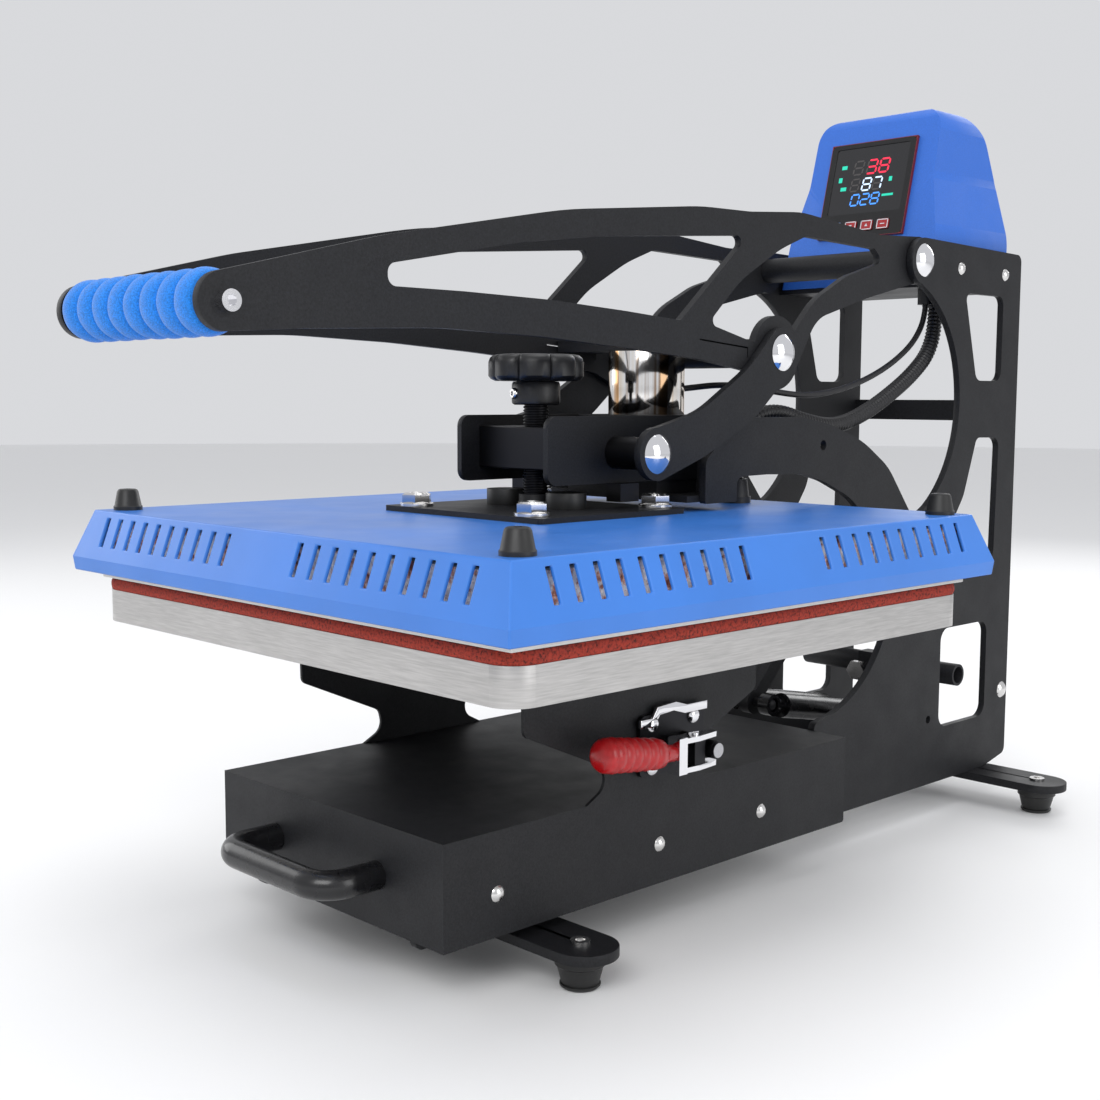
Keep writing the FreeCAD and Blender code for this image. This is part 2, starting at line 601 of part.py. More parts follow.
# ---- drawer ----------------------------------------------------------------------------------
def make_drawer():
    wall_outline = [
        (SHELL_FRONT, SHELL_BOTTOM, 2), (SHELL_REAR, SHELL_BOTTOM, 2), (SHELL_REAR, SHELL_TOP, 2),
        (237, SHELL_TOP, 2), (221.5, -79, 9), (224.5, -66.5, 6), (285, -40, 5), (286, 0),
        (87, 0), (88, -40, 5), (148.5, -66.5, 6), (151.5, -79, 9), (136, SHELL_TOP, 2), (SHELL_FRONT, SHELL_TOP, 2),
    ]
    pieces = []
    for side in SIDES:
        low, high = sorted((side * (SHELL_X - SHEET), side * SHELL_X))
        pieces.append(slab(wall_outline, "side", low, high))
        low, high = sorted((side * (SHELL_X - 24), side * SHELL_X))
        pieces.append(box(low, high, 87, 286, -SHEET, 0))
    pieces.append(box(-SHELL_X, SHELL_X, SHELL_FRONT, SHELL_REAR, SHELL_TOP - SHEET, SHELL_TOP))
    pieces.append(box(-SHELL_X, SHELL_X, SHELL_FRONT, SHELL_FRONT + SHEET, SHELL_BOTTOM, SHELL_TOP))
    shell = fuse(pieces)
    places = [(69.5, -121.5), (197.4, -121.4), (293, -120.2)]
    for side in SIDES:
        for y in (110, 263):
            shell = shell.cut(bar_z(-3, 1, side * 91, y, 2.6))
    for x in SIDES:
        shell = shell.cut(bar_y(SHELL_FRONT - 1, SHELL_FRONT + 3, x * 48, -116, 3.1))
    save("drawer_shell", shell)

    screws = []
    for side in SIDES:
        for y, z in places:
            screws.append(dome_x(side * SHELL_X, side * (SHELL_X + 2.4), y, z, 4.6))

    platen_outline = rounded_rectangle(-190, 190, 0, PLATEN, 15)
    platen = slab(platen_outline, "top", 0, PLATEN_TOP)
    for side in SIDES:
        for y in (110, 263):
            platen = platen.cut(bar_z(-1, 9.1, side * 91, y, 2.6))
            head = bar_z(-5, -SHEET, side * 91, y, 4.5)
            screws.append(fuse([head, bar_z(-SHEET, 9, side * 91, y, 2.5)]))
    save("lower_platen", platen)
    save("silicone_pad", slab(platen_outline, "top", PLATEN_TOP, PAD_TOP))

    handle_y = -3.0
    path_points = [VECTOR(-48, SHELL_FRONT, -116), VECTOR(-48, handle_y + 16, -116)]
    corner = 16 * (1 - math.cos(math.radians(45)))
    edges = [Part.LineSegment(path_points[0], path_points[1]).toShape()]
    edges.append(Part.Arc(path_points[1], VECTOR(-48 + corner, handle_y + corner, -116),
                          VECTOR(-32, handle_y, -116)).toShape())
    edges.append(Part.LineSegment(VECTOR(-32, handle_y, -116), VECTOR(32, handle_y, -116)).toShape())
    edges.append(Part.Arc(VECTOR(32, handle_y, -116), VECTOR(48 - corner, handle_y + corner, -116),
                          VECTOR(48, handle_y + 16, -116)).toShape())
    edges.append(Part.LineSegment(VECTOR(48, handle_y + 16, -116), VECTOR(48, SHELL_FRONT, -116)).toShape())
    section = Part.Wire([Part.Circle(VECTOR(-48, SHELL_FRONT, -116), Y_AXIS, 8).toShape()])
    handle = Part.Wire(edges).makePipeShell([section], True, True)
    save("drawer_handle", handle)
    for side in SIDES:
        nut = bar_y(SHELL_FRONT + SHEET, SHELL_FRONT + SHEET + 4, side * 48, -116, 5.5)
        screws.append(fuse([nut, bar_y(SHELL_FRONT, SHELL_FRONT + SHEET, side * 48, -116, 3)]))
    save("drawer_screws", screws)


# ---- push-pull latch on the drawer's right wall --------------------------------------------------
LATCH_HINGE = (126.0, 201.5)
PLUNGER_Y = 213.0
PLUNGER_R = 5.2
LATCH_Z = -62.5
GRIP_END = 183.0
GRIP_TILT = 8.0


def make_latch():
    wall = SHELL_X
    hinge_x, hinge_y = LATCH_HINGE
    foot = slab([(176, -78, 4), (232, -78, 4), (232, -42, 4), (176, -42, 4)], "side", wall, wall + 3)
    guide = bar_x(wall + 3, 115, PLUNGER_Y, LATCH_Z, 6.9)
    post = box(wall + 3, hinge_x + 4, hinge_y - 4.5, hinge_y + 4.5, LATCH_Z - 6.8, LATCH_Z + 6.8)
    base = fuse([foot, guide, post])
    base = base.cut(bar_x(wall - 1, 140, PLUNGER_Y, LATCH_Z, PLUNGER_R + RUNNING))
    save("latch_base", base.cut(bar_z(LATCH_Z - 20, LATCH_Z + 20, hinge_x, hinge_y, 2 + RUNNING)))

    tip = bar_x(wall + 4, 132.5, PLUNGER_Y, LATCH_Z, PLUNGER_R)
    save("latch_plunger", tip.fuse(bar_x(132.5, 134, PLUNGER_Y, LATCH_Z, PLUNGER_R - 0.6)))

    jaws = []
    for level in (LATCH_Z - 10, LATCH_Z + 7):
        jaws.append(slab(
            [(122, 184, 1.5), (130, 184, 1.5), (131, 200, 3), (129, 218.5, 2.5), (123, 218.5, 2.5), (120.5, 200, 3)],
            "top", level, level + 3))
    bridge = box(121.5, 130.5, GRIP_END + 0.1, 190, LATCH_Z - 10.5, LATCH_Z + 10.5)
    pin = bar_z(LATCH_Z - 11, LATCH_Z + 11, hinge_x, hinge_y, 2)
    save("latch_fork", fuse(jaws + [bridge, pin]))

    far = 131.0
    centre = VECTOR(hinge_x, far, LATCH_Z)
    body = Part.makeCone(10.2, 8.6, 171 - far, centre, Y_AXIS)
    ball = Part.makeSphere(10.2, centre)
    ball.rotate(centre, X_AXIS, 90)
    grip = fuse([body, ball, bar_y(170, GRIP_END + 2, hinge_x, LATCH_Z, 4.8)])
    grip.rotate(VECTOR(hinge_x, GRIP_END, LATCH_Z + 1.5), X_AXIS, -GRIP_TILT)
    save("latch_grip", grip.cut(box(100, 150, GRIP_END, 200, LATCH_Z - 30, LATCH_Z + 30)))


# ---- control box ------------------------------------------------------------------------------
def on_face(shape):
    """Move a piece drawn at the origin, facing -Y, onto the control box's sloping face."""
    turned = shape.copy()
    turned.rotate(VECTOR(0, 0, 0), X_AXIS, -FACE_TILT)
    turned.translate(VECTOR(0, FACE_Y, FACE_Z))
    return turned


def control_block(inset):
    lean = math.tan(math.radians(FACE_TILT))
    front_low = FACE_Y - (FACE_Z - BOX_FLOOR) * lean + inset
    front_high = FACE_Y + (358 - FACE_Z) * lean + inset
    top = 358 - inset
    profile = [
        (front_low, BOX_FLOOR), (front_high - inset * lean, top, 9), (601 - inset, 357.5 - inset, 14),
        (622 - inset, 338 - inset, 30), (637 - inset, 306 - inset, 40), (641 - inset, 268, 20), (639 - inset, BOX_FLOOR),
    ]
    side_view = slab(profile, "side", -BOX_X, BOX_X)
    half = BOX_X - inset
    front = [
        (-half, BOX_FLOOR), (half, BOX_FLOOR), (half, 262, 60), (half - 10, 306, 30),
        (half - 11, top, 18), (11 - half, top, 18), (10 - half, 306, 30), (-half, 262, 60),
    ]
    return side_view.common(slab(front, "front", 500, 660))


def button_outline(x, grow):
    wide, tall = BUTTON_HALF
    return rounded_rectangle(
        x - wide - grow, x + wide + grow, BUTTON_UP - tall - grow, BUTTON_UP + tall + grow, 1.2)


def button(x):
    cap = slab(button_outline(x, 0), "front", -3.6, 2.6)
    flange = slab(button_outline(x, 0.7), "front", 2.4, 3.6)
    return on_face(fuse([cap, flange]))


def make_control_box():
    shell = control_block(0).cut(fuse([control_block(2.2), control_block(2.2).translated(VECTOR(0, 0, -1))]))
    shell = shell.cut(on_face(box(-31, 31, -3, 6, 17, 69)))
    for x in BUTTON_X:
        shell = shell.cut(on_face(slab(button_outline(x, 1.0), "front", -4, 5)))
    shell = shell.cut(box(-56, 56, 630, 650, 231, 262))
    save("control_box_shell", shell)

    plate = slab(rounded_rectangle(-38, 38, -1, 74.5, 4), "front", -2.6, -0.05)
    plate = plate.cut(slab(rounded_rectangle(-33, 33, 17.5, 71, 2), "front", -4, 1))
    for x in BUTTON_X:
        plate = plate.cut(slab(button_outline(x, FREE), "front", -4, 1))
    save("display_bezel", on_face(plate))
    save("display_window", on_face(box(-32.9, 32.9, -2.0, -0.3, 17.6, 70.9)))
    display = on_face(box(-30.5, 30.5, 0.2, 8, 18, 68))
    board = on_face(box(-36, 36, 8.1, 9.7, -14, 76))
    switches = [on_face(box(x - 3, x + 3, 5.3, 8.0, BUTTON_UP - 3, BUTTON_UP + 3)) for x in BUTTON_X]
    save("control_board", [board, display] + switches)
    for index, x in enumerate(BUTTON_X):
        save("button_%d" % (index + 1), button(x))

    board = box(-48, 48, 562, 618, 231, 232.6)
    relay = box(6, 30, 572, 588, 232.7, 250)
    terminals = fuse([box(10, 44, 600, 612, 232.7, 242), box(10, 44, 602, 610, 242, 246)])
    transformer = fuse([box(-42, -8, 570, 600, 232.7, 262), box(-36, -14, 564, 606, 236, 258)])
    save("power_board", [board, relay, terminals, transformer])

    panel = slab(rounded_rectangle(-60, 60, 227, 266, 4), "front", 641.1, 643)
    panel = panel.cut(box(-52, -24, 640, 645, 236, 256))
    panel = panel.cut(box(-6, 14, 640, 645, 237, 257))
    inlet = box(-51.9, -24.1, 622, 644.5, 236.1, 255.9)
    inlet = inlet.cut(box(-49.5, -26.5, 628, 646, 238.5, 253.5))
    pins = []
    for offset, up in ((-7, 0), (0, 4), (7, 0)):
        pins.append(box(-38.8 + offset, -37.2 + offset, 627, 639, 242 + up, 246 + up))
    save("mains_inlet", fuse([inlet] + pins))
    frame = box(-5.9, 13.9, 630, 644.5, 237.1, 256.9).cut(box(-3.5, 11.5, 629, 646, 239.5, 254.5))
    save("rear_panel", [panel, frame])
    rocker = slab([(636, 240.2), (646.2, 240.2), (643.6, 247), (646.2, 253.8), (636, 253.8)], "side", -3.2, 11.2)
    rocker = rocker.common(bar_x(-4, 12, 639.5, 247, 7.1))
    rocker.rotate(VECTOR(0, 639.5, 247), X_AXIS, -8)
    save("rocker_switch", rocker)


# ---- held leads ---------------------------------------------------------------------------------
def lead(name, route, radius):
    """Straight runs joined by tangent arcs, as a round lead; prints each bend's radius."""
    points = [VECTOR(*point) for point in route]
    edges = []
    radii = []
    last = points[0]
    for index in range(1, len(points) - 1):
        before = points[index - 1] - points[index]
        after = points[index + 1] - points[index]
        turn = math.pi - before.getAngle(after)
        run = min(before.Length, after.Length)
        bend = 0.45 * run / math.tan(turn / 2)
        back = VECTOR(before).normalize()
        ahead = VECTOR(after).normalize()
        inward = (back + ahead).normalize()
        start = points[index] + back * (0.45 * run)
        end = points[index] + ahead * (0.45 * run)
        middle = points[index] + inward * (bend / math.cos(turn / 2) - bend)
        edges.append(Part.LineSegment(last, start).toShape())
        edges.append(Part.Arc(start, middle, end).toShape())
        radii.append(round(bend, 1))
        last = end
    edges.append(Part.LineSegment(last, points[-1]).toShape())
    path = Part.Wire(edges)
    section = Part.Wire([Part.Circle(points[0], points[1] - points[0], radius).toShape()])
    solid = path.makePipeShell([section], True, True)
    expected = math.pi * radius * radius * path.Length
    print(name, "length", round(path.Length, 1), "radii", radii, "volume ratio", round(solid.Volume / expected, 4))
    save(name, solid)


def make_leads():
    glands = []
    for name, route, radius in (("heater_conduit", CONDUIT_ROUTE, CONDUIT_R), ("magnet_cable", CABLE_ROUTE, CABLE_R)):
        lead(name, route, radius)
        x, y = route[0][:2]
        outer = bar_z(210, BRACKET_LOW - 0.1, x, y, radius + 4)
        glands.append(outer.cut(bar_along(route[0], route[1], -3, 16, radius + 0.05)))
    save("box_glands", glands)


def main():
    os.makedirs("parts", exist_ok=True)
    make_frame()
    make_frame_pins(make_feet())
    make_rails()
    make_lever()
    make_links()
    make_arm()
    make_gas_springs()
    make_head()
    make_spindle()
    make_drawer()
    make_latch()
    make_control_box()
    make_leads()


main()
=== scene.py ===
import math
import random

import bmesh
import bpy
from mathutils import Matrix, Vector


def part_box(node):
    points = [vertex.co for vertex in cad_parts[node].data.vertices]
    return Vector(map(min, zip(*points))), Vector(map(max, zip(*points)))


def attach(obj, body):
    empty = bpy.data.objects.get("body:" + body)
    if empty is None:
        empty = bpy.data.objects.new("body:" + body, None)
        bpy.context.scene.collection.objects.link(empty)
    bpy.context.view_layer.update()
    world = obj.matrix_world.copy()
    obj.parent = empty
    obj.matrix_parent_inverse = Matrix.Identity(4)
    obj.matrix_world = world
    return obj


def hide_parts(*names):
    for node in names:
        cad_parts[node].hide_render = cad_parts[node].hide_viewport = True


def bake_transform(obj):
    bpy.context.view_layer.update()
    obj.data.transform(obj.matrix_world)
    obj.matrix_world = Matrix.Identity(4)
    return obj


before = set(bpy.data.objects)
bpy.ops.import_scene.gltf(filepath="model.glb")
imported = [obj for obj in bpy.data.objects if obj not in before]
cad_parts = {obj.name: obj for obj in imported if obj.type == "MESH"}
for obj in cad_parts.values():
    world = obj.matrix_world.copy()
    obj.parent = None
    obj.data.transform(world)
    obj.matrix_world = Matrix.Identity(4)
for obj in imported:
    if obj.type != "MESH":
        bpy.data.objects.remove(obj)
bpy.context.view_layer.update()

random.seed(7)

# ---- places, from the frame ------------------------------------------------------
# Layout lengths are millimetres from the lower platen's front lower edge, on the centre plane.
platen_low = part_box("lower_platen")[0]
MM = 0.001
UP = (0, 0, 1)
RIGHT = (1, 0, 0)
BACK = (0, 1, 0)
FACE_TILT = math.radians(14.2)


def place(x, y, z):
    """Point from layout millimetres."""
    return Vector((x * MM, platen_low.y + y * MM, platen_low.z + z * MM))


# ---- camera --------------------------------------------------------------------------
VIEW_TURN = 0.804327
VIEW_DOWN = 0.103485
VIEW_ROLL = 0.0037825
LENS = 48.424
SENSOR = 36.0
CAMERA_AT = (669.08, -437.65, 140.25)


def add_camera():
    level = math.cos(VIEW_DOWN)
    forward = Vector((-math.sin(VIEW_TURN) * level, math.cos(VIEW_TURN) * level, -math.sin(VIEW_DOWN)))
    level_right = forward.cross(Vector(UP)).normalized()
    level_up = level_right.cross(forward)
    right = math.cos(VIEW_ROLL) * level_right + math.sin(VIEW_ROLL) * level_up
    up = math.cos(VIEW_ROLL) * level_up - math.sin(VIEW_ROLL) * level_right
    data = bpy.data.cameras.new("camera")
    data.lens = LENS
    data.sensor_width = SENSOR
    data.clip_start = 0.01
    data.clip_end = 50
    camera = bpy.data.objects.new("camera", data)
    bpy.context.scene.collection.objects.link(camera)
    turn = Matrix((right, up, -forward)).transposed().to_4x4()
    camera.matrix_world = Matrix.Translation(place(*CAMERA_AT)) @ turn
    bpy.context.scene.camera = camera


# ---- material helpers ----------------------------------------------------------------
class Paint:
    """A Principled material with a few procedural layers added by name."""

    def __init__(self, name, colour, rough, metal=0.0):
        self.material = bpy.data.materials.new(name)
        self.material.use_nodes = True
        self.tree = self.material.node_tree
        self.shader = self.tree.nodes["Principled BSDF"]
        self.colour = tuple(colour)
        self.shader.inputs["Base Color"].default_value = (*colour, 1)
        self.shader.inputs["Roughness"].default_value = rough
        self.shader.inputs["Metallic"].default_value = metal
        self.rough = rough
        self.height = None
        self.coordinate = self.node("ShaderNodeTexCoord").outputs["Object"]

    def node(self, kind, settings=None, **links):
        made = self.tree.nodes.new(kind)
        for key, value in (settings or {}).items():
            if key in made.inputs:
                made.inputs[key].default_value = value
            else:
                setattr(made, key, value)
        for key, value in links.items():
            self.tree.links.new(value, made.inputs[key.replace("_", " ")])
        return made

    def stretched(self, x, y, z):
        return self.node("ShaderNodeMapping", {"Scale": (x, y, z)}, Vector=self.coordinate).outputs["Vector"]

    def noise(self, scale, detail=3.0, vector=None, rough=0.5):
        settings = {"Scale": scale, "Detail": detail, "Roughness": rough}
        return self.node("ShaderNodeTexNoise", settings, Vector=vector or self.coordinate).outputs["Fac"]

    def ramp(self, value, stops):
        made = self.node("ShaderNodeValToRGB", None, Fac=value)
        elements = made.color_ramp.elements
        while len(elements) < len(stops):
            elements.new(0.5)
        for element, (position, colour) in zip(elements, stops):
            element.position = position
            element.color = (*colour, 1)
        return made.outputs["Color"]

    def shade(self, factor):
        return tuple(min(1.0, c * factor) for c in self.colour)

    def vary_colour(self, scale, dark, light, vector=None):
        value = self.noise(scale, 4, vector)
        colour = self.ramp(value, [(0.3, self.shade(dark)), (0.7, self.shade(light))])
        self.tree.links.new(colour, self.shader.inputs["Base Color"])
        return self

    def vary_rough(self, scale, spread, vector=None):
        value = self.noise(scale, 3, vector)
        mapped = self.node("ShaderNodeMapRange", {
            "From Min": 0.3, "From Max": 0.7,
            "To Min": max(0.02, self.rough - spread), "To Max": self.rough + spread}, Value=value)
        self.tree.links.new(mapped.outputs["Result"], self.shader.inputs["Roughness"])
        return self

    def bump(self, value, strength, depth):
        settings = {"Strength": strength, "Distance": depth}
        made = self.node("ShaderNodeBump", settings, Height=value)
        if self.height is not None:
            self.tree.links.new(self.height, made.inputs["Normal"])
        self.height = made.outputs["Normal"]
        self.tree.links.new(self.height, self.shader.inputs["Normal"])
        return self

    def set(self, **values):
        for key, value in values.items():
            self.shader.inputs[key.replace("_", " ")].default_value = value
        return self


def powder_coat():
    paint = Paint("black_powder_coat", (0.0085, 0.0088, 0.0105), 0.52)
    paint.vary_colour(900, 0.6, 1.5).vary_rough(40, 0.05)
    paint.set(Specular_IOR_Level=0.3)
    paint.bump(paint.noise(1500, 2), 0.22, 0.00025)
    return paint.bump(paint.noise(60, 2), 0.04, 0.0005).material


def blue_enamel():
    paint = Paint("blue_enamel", (0.030, 0.175, 0.60), 0.4)
    paint.vary_colour(18, 0.94, 1.05).vary_rough(30, 0.04)
    paint.set(Coat_Weight=0.15, Coat_Roughness=0.25)
    paint.bump(paint.noise(900, 2), 0.06, 0.0002)
    return paint.material


def blue_case():
    paint = Paint("blue_case_texture", (0.022, 0.13, 0.55), 0.5)
    paint.vary_colour(1400, 0.9, 1.12).vary_rough(60, 0.05)
    paint.bump(paint.noise(1300, 2), 0.3, 0.00025)
    return paint.material


def blue_foam():
    paint = Paint("blue_foam", (0.006, 0.21, 0.74), 0.92)
    paint.vary_colour(1300, 0.6, 1.2)
    paint.set(Sheen_Weight=0.25, Sheen_Roughness=0.5)
    paint.bump(paint.noise(1800, 3, rough=0.7), 0.6, 0.0005)
    return paint.material


def sponge_silicone():
    paint = Paint("silicone_sponge", (0.26, 0.024, 0.012), 0.88)
    specks = paint.noise(650, 4, rough=0.7)
    colour = paint.ramp(specks, [(0.36, paint.shade(0.25)), (0.46, paint.colour), (0.62, paint.shade(1.5))])
    paint.tree.links.new(colour, paint.shader.inputs["Base Color"])
    paint.bump(specks, 0.6, 0.0006)
    return paint.material


def brushed(name, colour, rough, grain, bump=0.15):
    paint = Paint(name, colour, rough, 1.0)
    lines = paint.stretched(*grain)
    paint.vary_colour(60, 0.82, 1.08, lines).vary_rough(60, 0.08, lines)
    paint.bump(paint.noise(60, 5, lines), bump, 0.0003)
    return paint.material


def cast_platen():
    paint = Paint("platen_aluminium", (0.50, 0.49, 0.48), 0.38, 0.9)
    lines = paint.stretched(3, 3, 60)
    paint.vary_colour(22, 0.86, 1.1, lines).vary_rough(14, 0.1)
    paint.bump(paint.noise(30, 6, lines), 0.12, 0.0004)
    return paint.material


def polished(name, colour, rough):
    paint = Paint(name, colour, rough, 1.0)
    paint.vary_rough(80, 0.03)
    paint.bump(paint.noise(35, 2), 0.03, 0.0004)
    return paint.material


def moulded(name, colour, rough, grain=700, bump=0.15, coat=0.0):
    paint = Paint(name, colour, rough)
    paint.vary_colour(250, 0.85, 1.15).vary_rough(70, 0.05)
    paint.set(Coat_Weight=coat, Coat_Roughness=0.08)
    paint.bump(paint.noise(grain, 2), bump, 0.0002)
    return paint.material


def ceramic_board():
    paint = Paint("ceramic_fibre", (0.62, 0.58, 0.50), 0.95)
    fibres = paint.stretched(1, 6, 1)
    paint.vary_colour(300, 0.6, 1.2, fibres)
    paint.bump(paint.noise(500, 4, fibres), 0.8, 0.001)
    return paint.material


def chrome_with_painted_reflections():
    """Polished steel with painted reflections: upright bands of warm, dark and pale tint in the base colour
    stand in for the studio mirrored in the chrome.
    """
    paint = Paint("magnet_steel", (0.80, 0.78, 0.76), 0.1, 1.0)
    painted_reflection_bands = paint.noise(1.0, 3, paint.stretched(75, 75, 1.5), 0.6)
    # painted reflection: the dark, warm and pale stops are mirrored surroundings, not the metal's own colour
    colour = paint.ramp(painted_reflection_bands, [
        (0.34, (0.10, 0.095, 0.09)), (0.42, (0.62, 0.36, 0.17)), (0.5, (0.86, 0.80, 0.72)),
        (0.58, (0.90, 0.90, 0.90)), (0.66, (0.34, 0.22, 0.13))])
    paint.tree.links.new(colour, paint.shader.inputs["Base Color"])
    paint.vary_rough(60, 0.04)
    return paint.material


def crinkled_foil():
    paint = Paint("heat_foil", (0.86, 0.72, 0.66), 0.34, 0.3)
    patches = paint.noise(95, 5, rough=0.65)
    colour = paint.ramp(patches, [
        (0.36, (0.20, 0.035, 0.018)), (0.44, (0.78, 0.36, 0.24)), (0.5, (0.96, 0.92, 0.90)),
        (0.6, (0.90, 0.80, 0.76)), (0.66, (0.36, 0.12, 0.08))])
    paint.tree.links.new(colour, paint.shader.inputs["Base Color"])
    paint.bump(paint.noise(160, 4), 0.9, 0.003)
    return paint.material


def circuit_board():
    paint = Paint("circuit_board", (0.01, 0.09, 0.035), 0.4)
    paint.vary_colour(600, 0.5, 1.6)
    paint.bump(paint.noise(900, 2), 0.2, 0.0003)
    return paint.material


def glow(name, colour, strength):
    paint = Paint(name, tuple(c * 0.4 for c in colour), 0.4)
    paint.set(Emission_Color=(*colour, 1), Emission_Strength=strength)
    paint.vary_rough(200, 0.05)
    return paint.material


def dark_glass():
    paint = Paint("smoked_glass", (0.006, 0.006, 0.008), 0.1)
    paint.vary_rough(120, 0.03)
    paint.set(Coat_Weight=0.4, Coat_Roughness=0.04)
    return paint.material


MATERIALS = {
    "coat": powder_coat(),
    "cover": blue_enamel(),
    "case": blue_case(),
    "foam": blue_foam(),
    "silicone": sponge_silicone(),
    "platen": cast_platen(),
    "heater": brushed("heater_aluminium", (0.62, 0.61, 0.6), 0.38, (4, 4, 70)),
    "chrome": polished("chrome", (0.82, 0.82, 0.84), 0.07),
    "zinc": polished("zinc_steel", (0.70, 0.69, 0.68), 0.2),
    "steel": brushed("turned_steel", (0.48, 0.48, 0.5), 0.3, (20, 20, 400)),
    "black_steel": polished("black_oxide_steel", (0.03, 0.03, 0.033), 0.4),
    "magnet": chrome_with_painted_reflections(),
    "gloss": moulded("gloss_black_rubber", (0.005, 0.005, 0.006), 0.26, 300, 0.08, 0.1),
    "knob": moulded("satin_black_knob", (0.006, 0.006, 0.007), 0.4, 500, 0.1),
    "plastic": moulded("black_plastic", (0.008, 0.008, 0.010), 0.42),
    "rubber": moulded("black_rubber", (0.008, 0.008, 0.008), 0.45, 900, 0.2),
    "bezel": moulded("gloss_bezel", (0.006, 0.006, 0.007), 0.16, 500, 0.03),
    "red": moulded("red_vinyl", (0.42, 0.003, 0.006), 0.3, 240, 0.08, 0.15),
    "button_red": moulded("red_button", (0.34, 0.01, 0.014), 0.4),
    "button_blue": moulded("blue_button", (0.01, 0.17, 0.5), 0.4),
    "rim": moulded("pale_rim", (0.62, 0.62, 0.66), 0.45),
    "edge_red": moulded("dark_red_edge", (0.16, 0.006, 0.008), 0.4),
    "board": circuit_board(),
    "ceramic": ceramic_board(),
    "foil": crinkled_foil(),
    "glass": dark_glass(),
    "glow_red": glow("glow_red", (1.0, 0.02, 0.07), 1.1),
    "glow_white": glow("glow_white", (0.62, 0.78, 1.0), 1.15),
    "glow_blue": glow("glow_blue", (0.06, 0.30, 1.0), 1.15),
    "glow_teal": glow("glow_teal", (0.01, 0.62, 0.42), 0.9),
    "unlit": moulded("unlit_segment", (0.055, 0.05, 0.05), 0.5),
}

NODE_FINISH = {
    "coat": (
        "frame_side_left", "frame_side_right", "frame_cross_members", "foot_bars", "lever_sides",
        "lever_cross_tubes", "armature_plate", "links", "arm_sides", "arm_tail", "press_beam",
        "drawer_shell", "mounting_plate"),
    "cover": ("heat_cover",),
    "case": ("control_box_shell",),
    "foam": ("foam_grip",),
    "silicone": ("silicone_pad",),
    "platen": ("lower_platen",),
    "heater": ("heating_plate",),
    "chrome": ("frame_pivot_shafts", "lever_pins", "link_pivot_caps", "latch_fork"),
    "magnet": ("electromagnet",),
    "zinc": (
        "slide_rails_outer", "slide_rails_middle", "slide_rails_inner", "gas_spring_rods", "mounting_bolts",
        "frame_screws", "drawer_screws"),
    "steel": ("spindle", "heating_element"),
    "black_steel": ("beam_blocks", "link_foot_shaft", "latch_base", "latch_plunger"),
    "gloss": ("drawer_handle", "gas_spring_cylinders"),
    "plastic": ("box_glands", "head_gland", "rear_panel", "mains_inlet", "heater_conduit", "magnet_cable"),
    "knob": ("pressure_knob",),
    "rubber": ("rubber_feet", "cover_bumpers", "guide_discs"),
    "bezel": ("display_bezel",),
    "glass": ("display_window",),
    "board": ("control_board", "power_board"),
    "ceramic": ("insulation_board",),
    "red": ("latch_grip", "rocker_switch"),
    "button_red": ("button_2", "button_3", "button_4"),
    "button_blue": ("button_1",),
}


def finish_nodes():
    for finish, names in NODE_FINISH.items():
        for name in names:
            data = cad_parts[name].data
            data.materials.clear()
            data.materials.append(MATERIALS[finish])


# ---- mesh helpers ------------------------------------------------------------------------
def add_piece(name, mesh_data, finish, body, smooth_angle=None):
    piece = bpy.data.objects.new(name, mesh_data)
    bpy.context.scene.collection.objects.link(piece)
    piece.data.materials.append(MATERIALS[finish])
    if smooth_angle is not None:
        mesh_data.shade_smooth()
        mesh_data.set_sharp_from_angle(angle=math.radians(smooth_angle))
    if body is not None:
        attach(piece, body)
    return piece


def mesh_from(name, vertices, faces):
    data = bpy.data.meshes.new(name)
    data.from_pydata([tuple(v) for v in vertices], [], faces)
    shape = bmesh.new()
    shape.from_mesh(data)
    bmesh.ops.recalc_face_normals(shape, faces=shape.faces)
    shape.to_mesh(data)
    shape.free()
    return data


def joined(name, meshes):
    """One mesh from several."""
    whole = bmesh.new()
    for data in meshes:
        whole.from_mesh(data)
    result = bpy.data.meshes.new(name)
    whole.to_mesh(result)
    whole.free()
    return result


def ring_faces(rings, count, capped=True):
    """Faces between rings of count points each, with the two ends closed when capped."""
    faces = []
    for ring in range(rings - 1):
        for index in range(count):
            a = ring * count + index
            b = ring * count + (index + 1) % count
            faces.append((a, b, b + count, a + count))
    if capped:
        faces.append(tuple(range(count)))
        faces.append(tuple(range((rings - 1) * count, rings * count)))
    return faces


def turned(name, profile, start, direction, steps=48, radius_at=None):
    """Solid of revolution: profile is (along, radius) pairs; radius_at(angle, along) may scale it."""
    axis = Vector(direction).normalized()
    side = axis.orthogonal().normalized()
    other = axis.cross(side)
    vertices = []
    for along, radius in profile:
        for step in range(steps):
            angle = 2 * math.pi * step / steps
            r = radius * (radius_at(angle, along) if radius_at else 1)
            across = side * r * math.cos(angle) + other * r * math.sin(angle)
            vertices.append(Vector(start) + axis * along + across)
    return mesh_from(name, vertices, ring_faces(len(profile), steps))


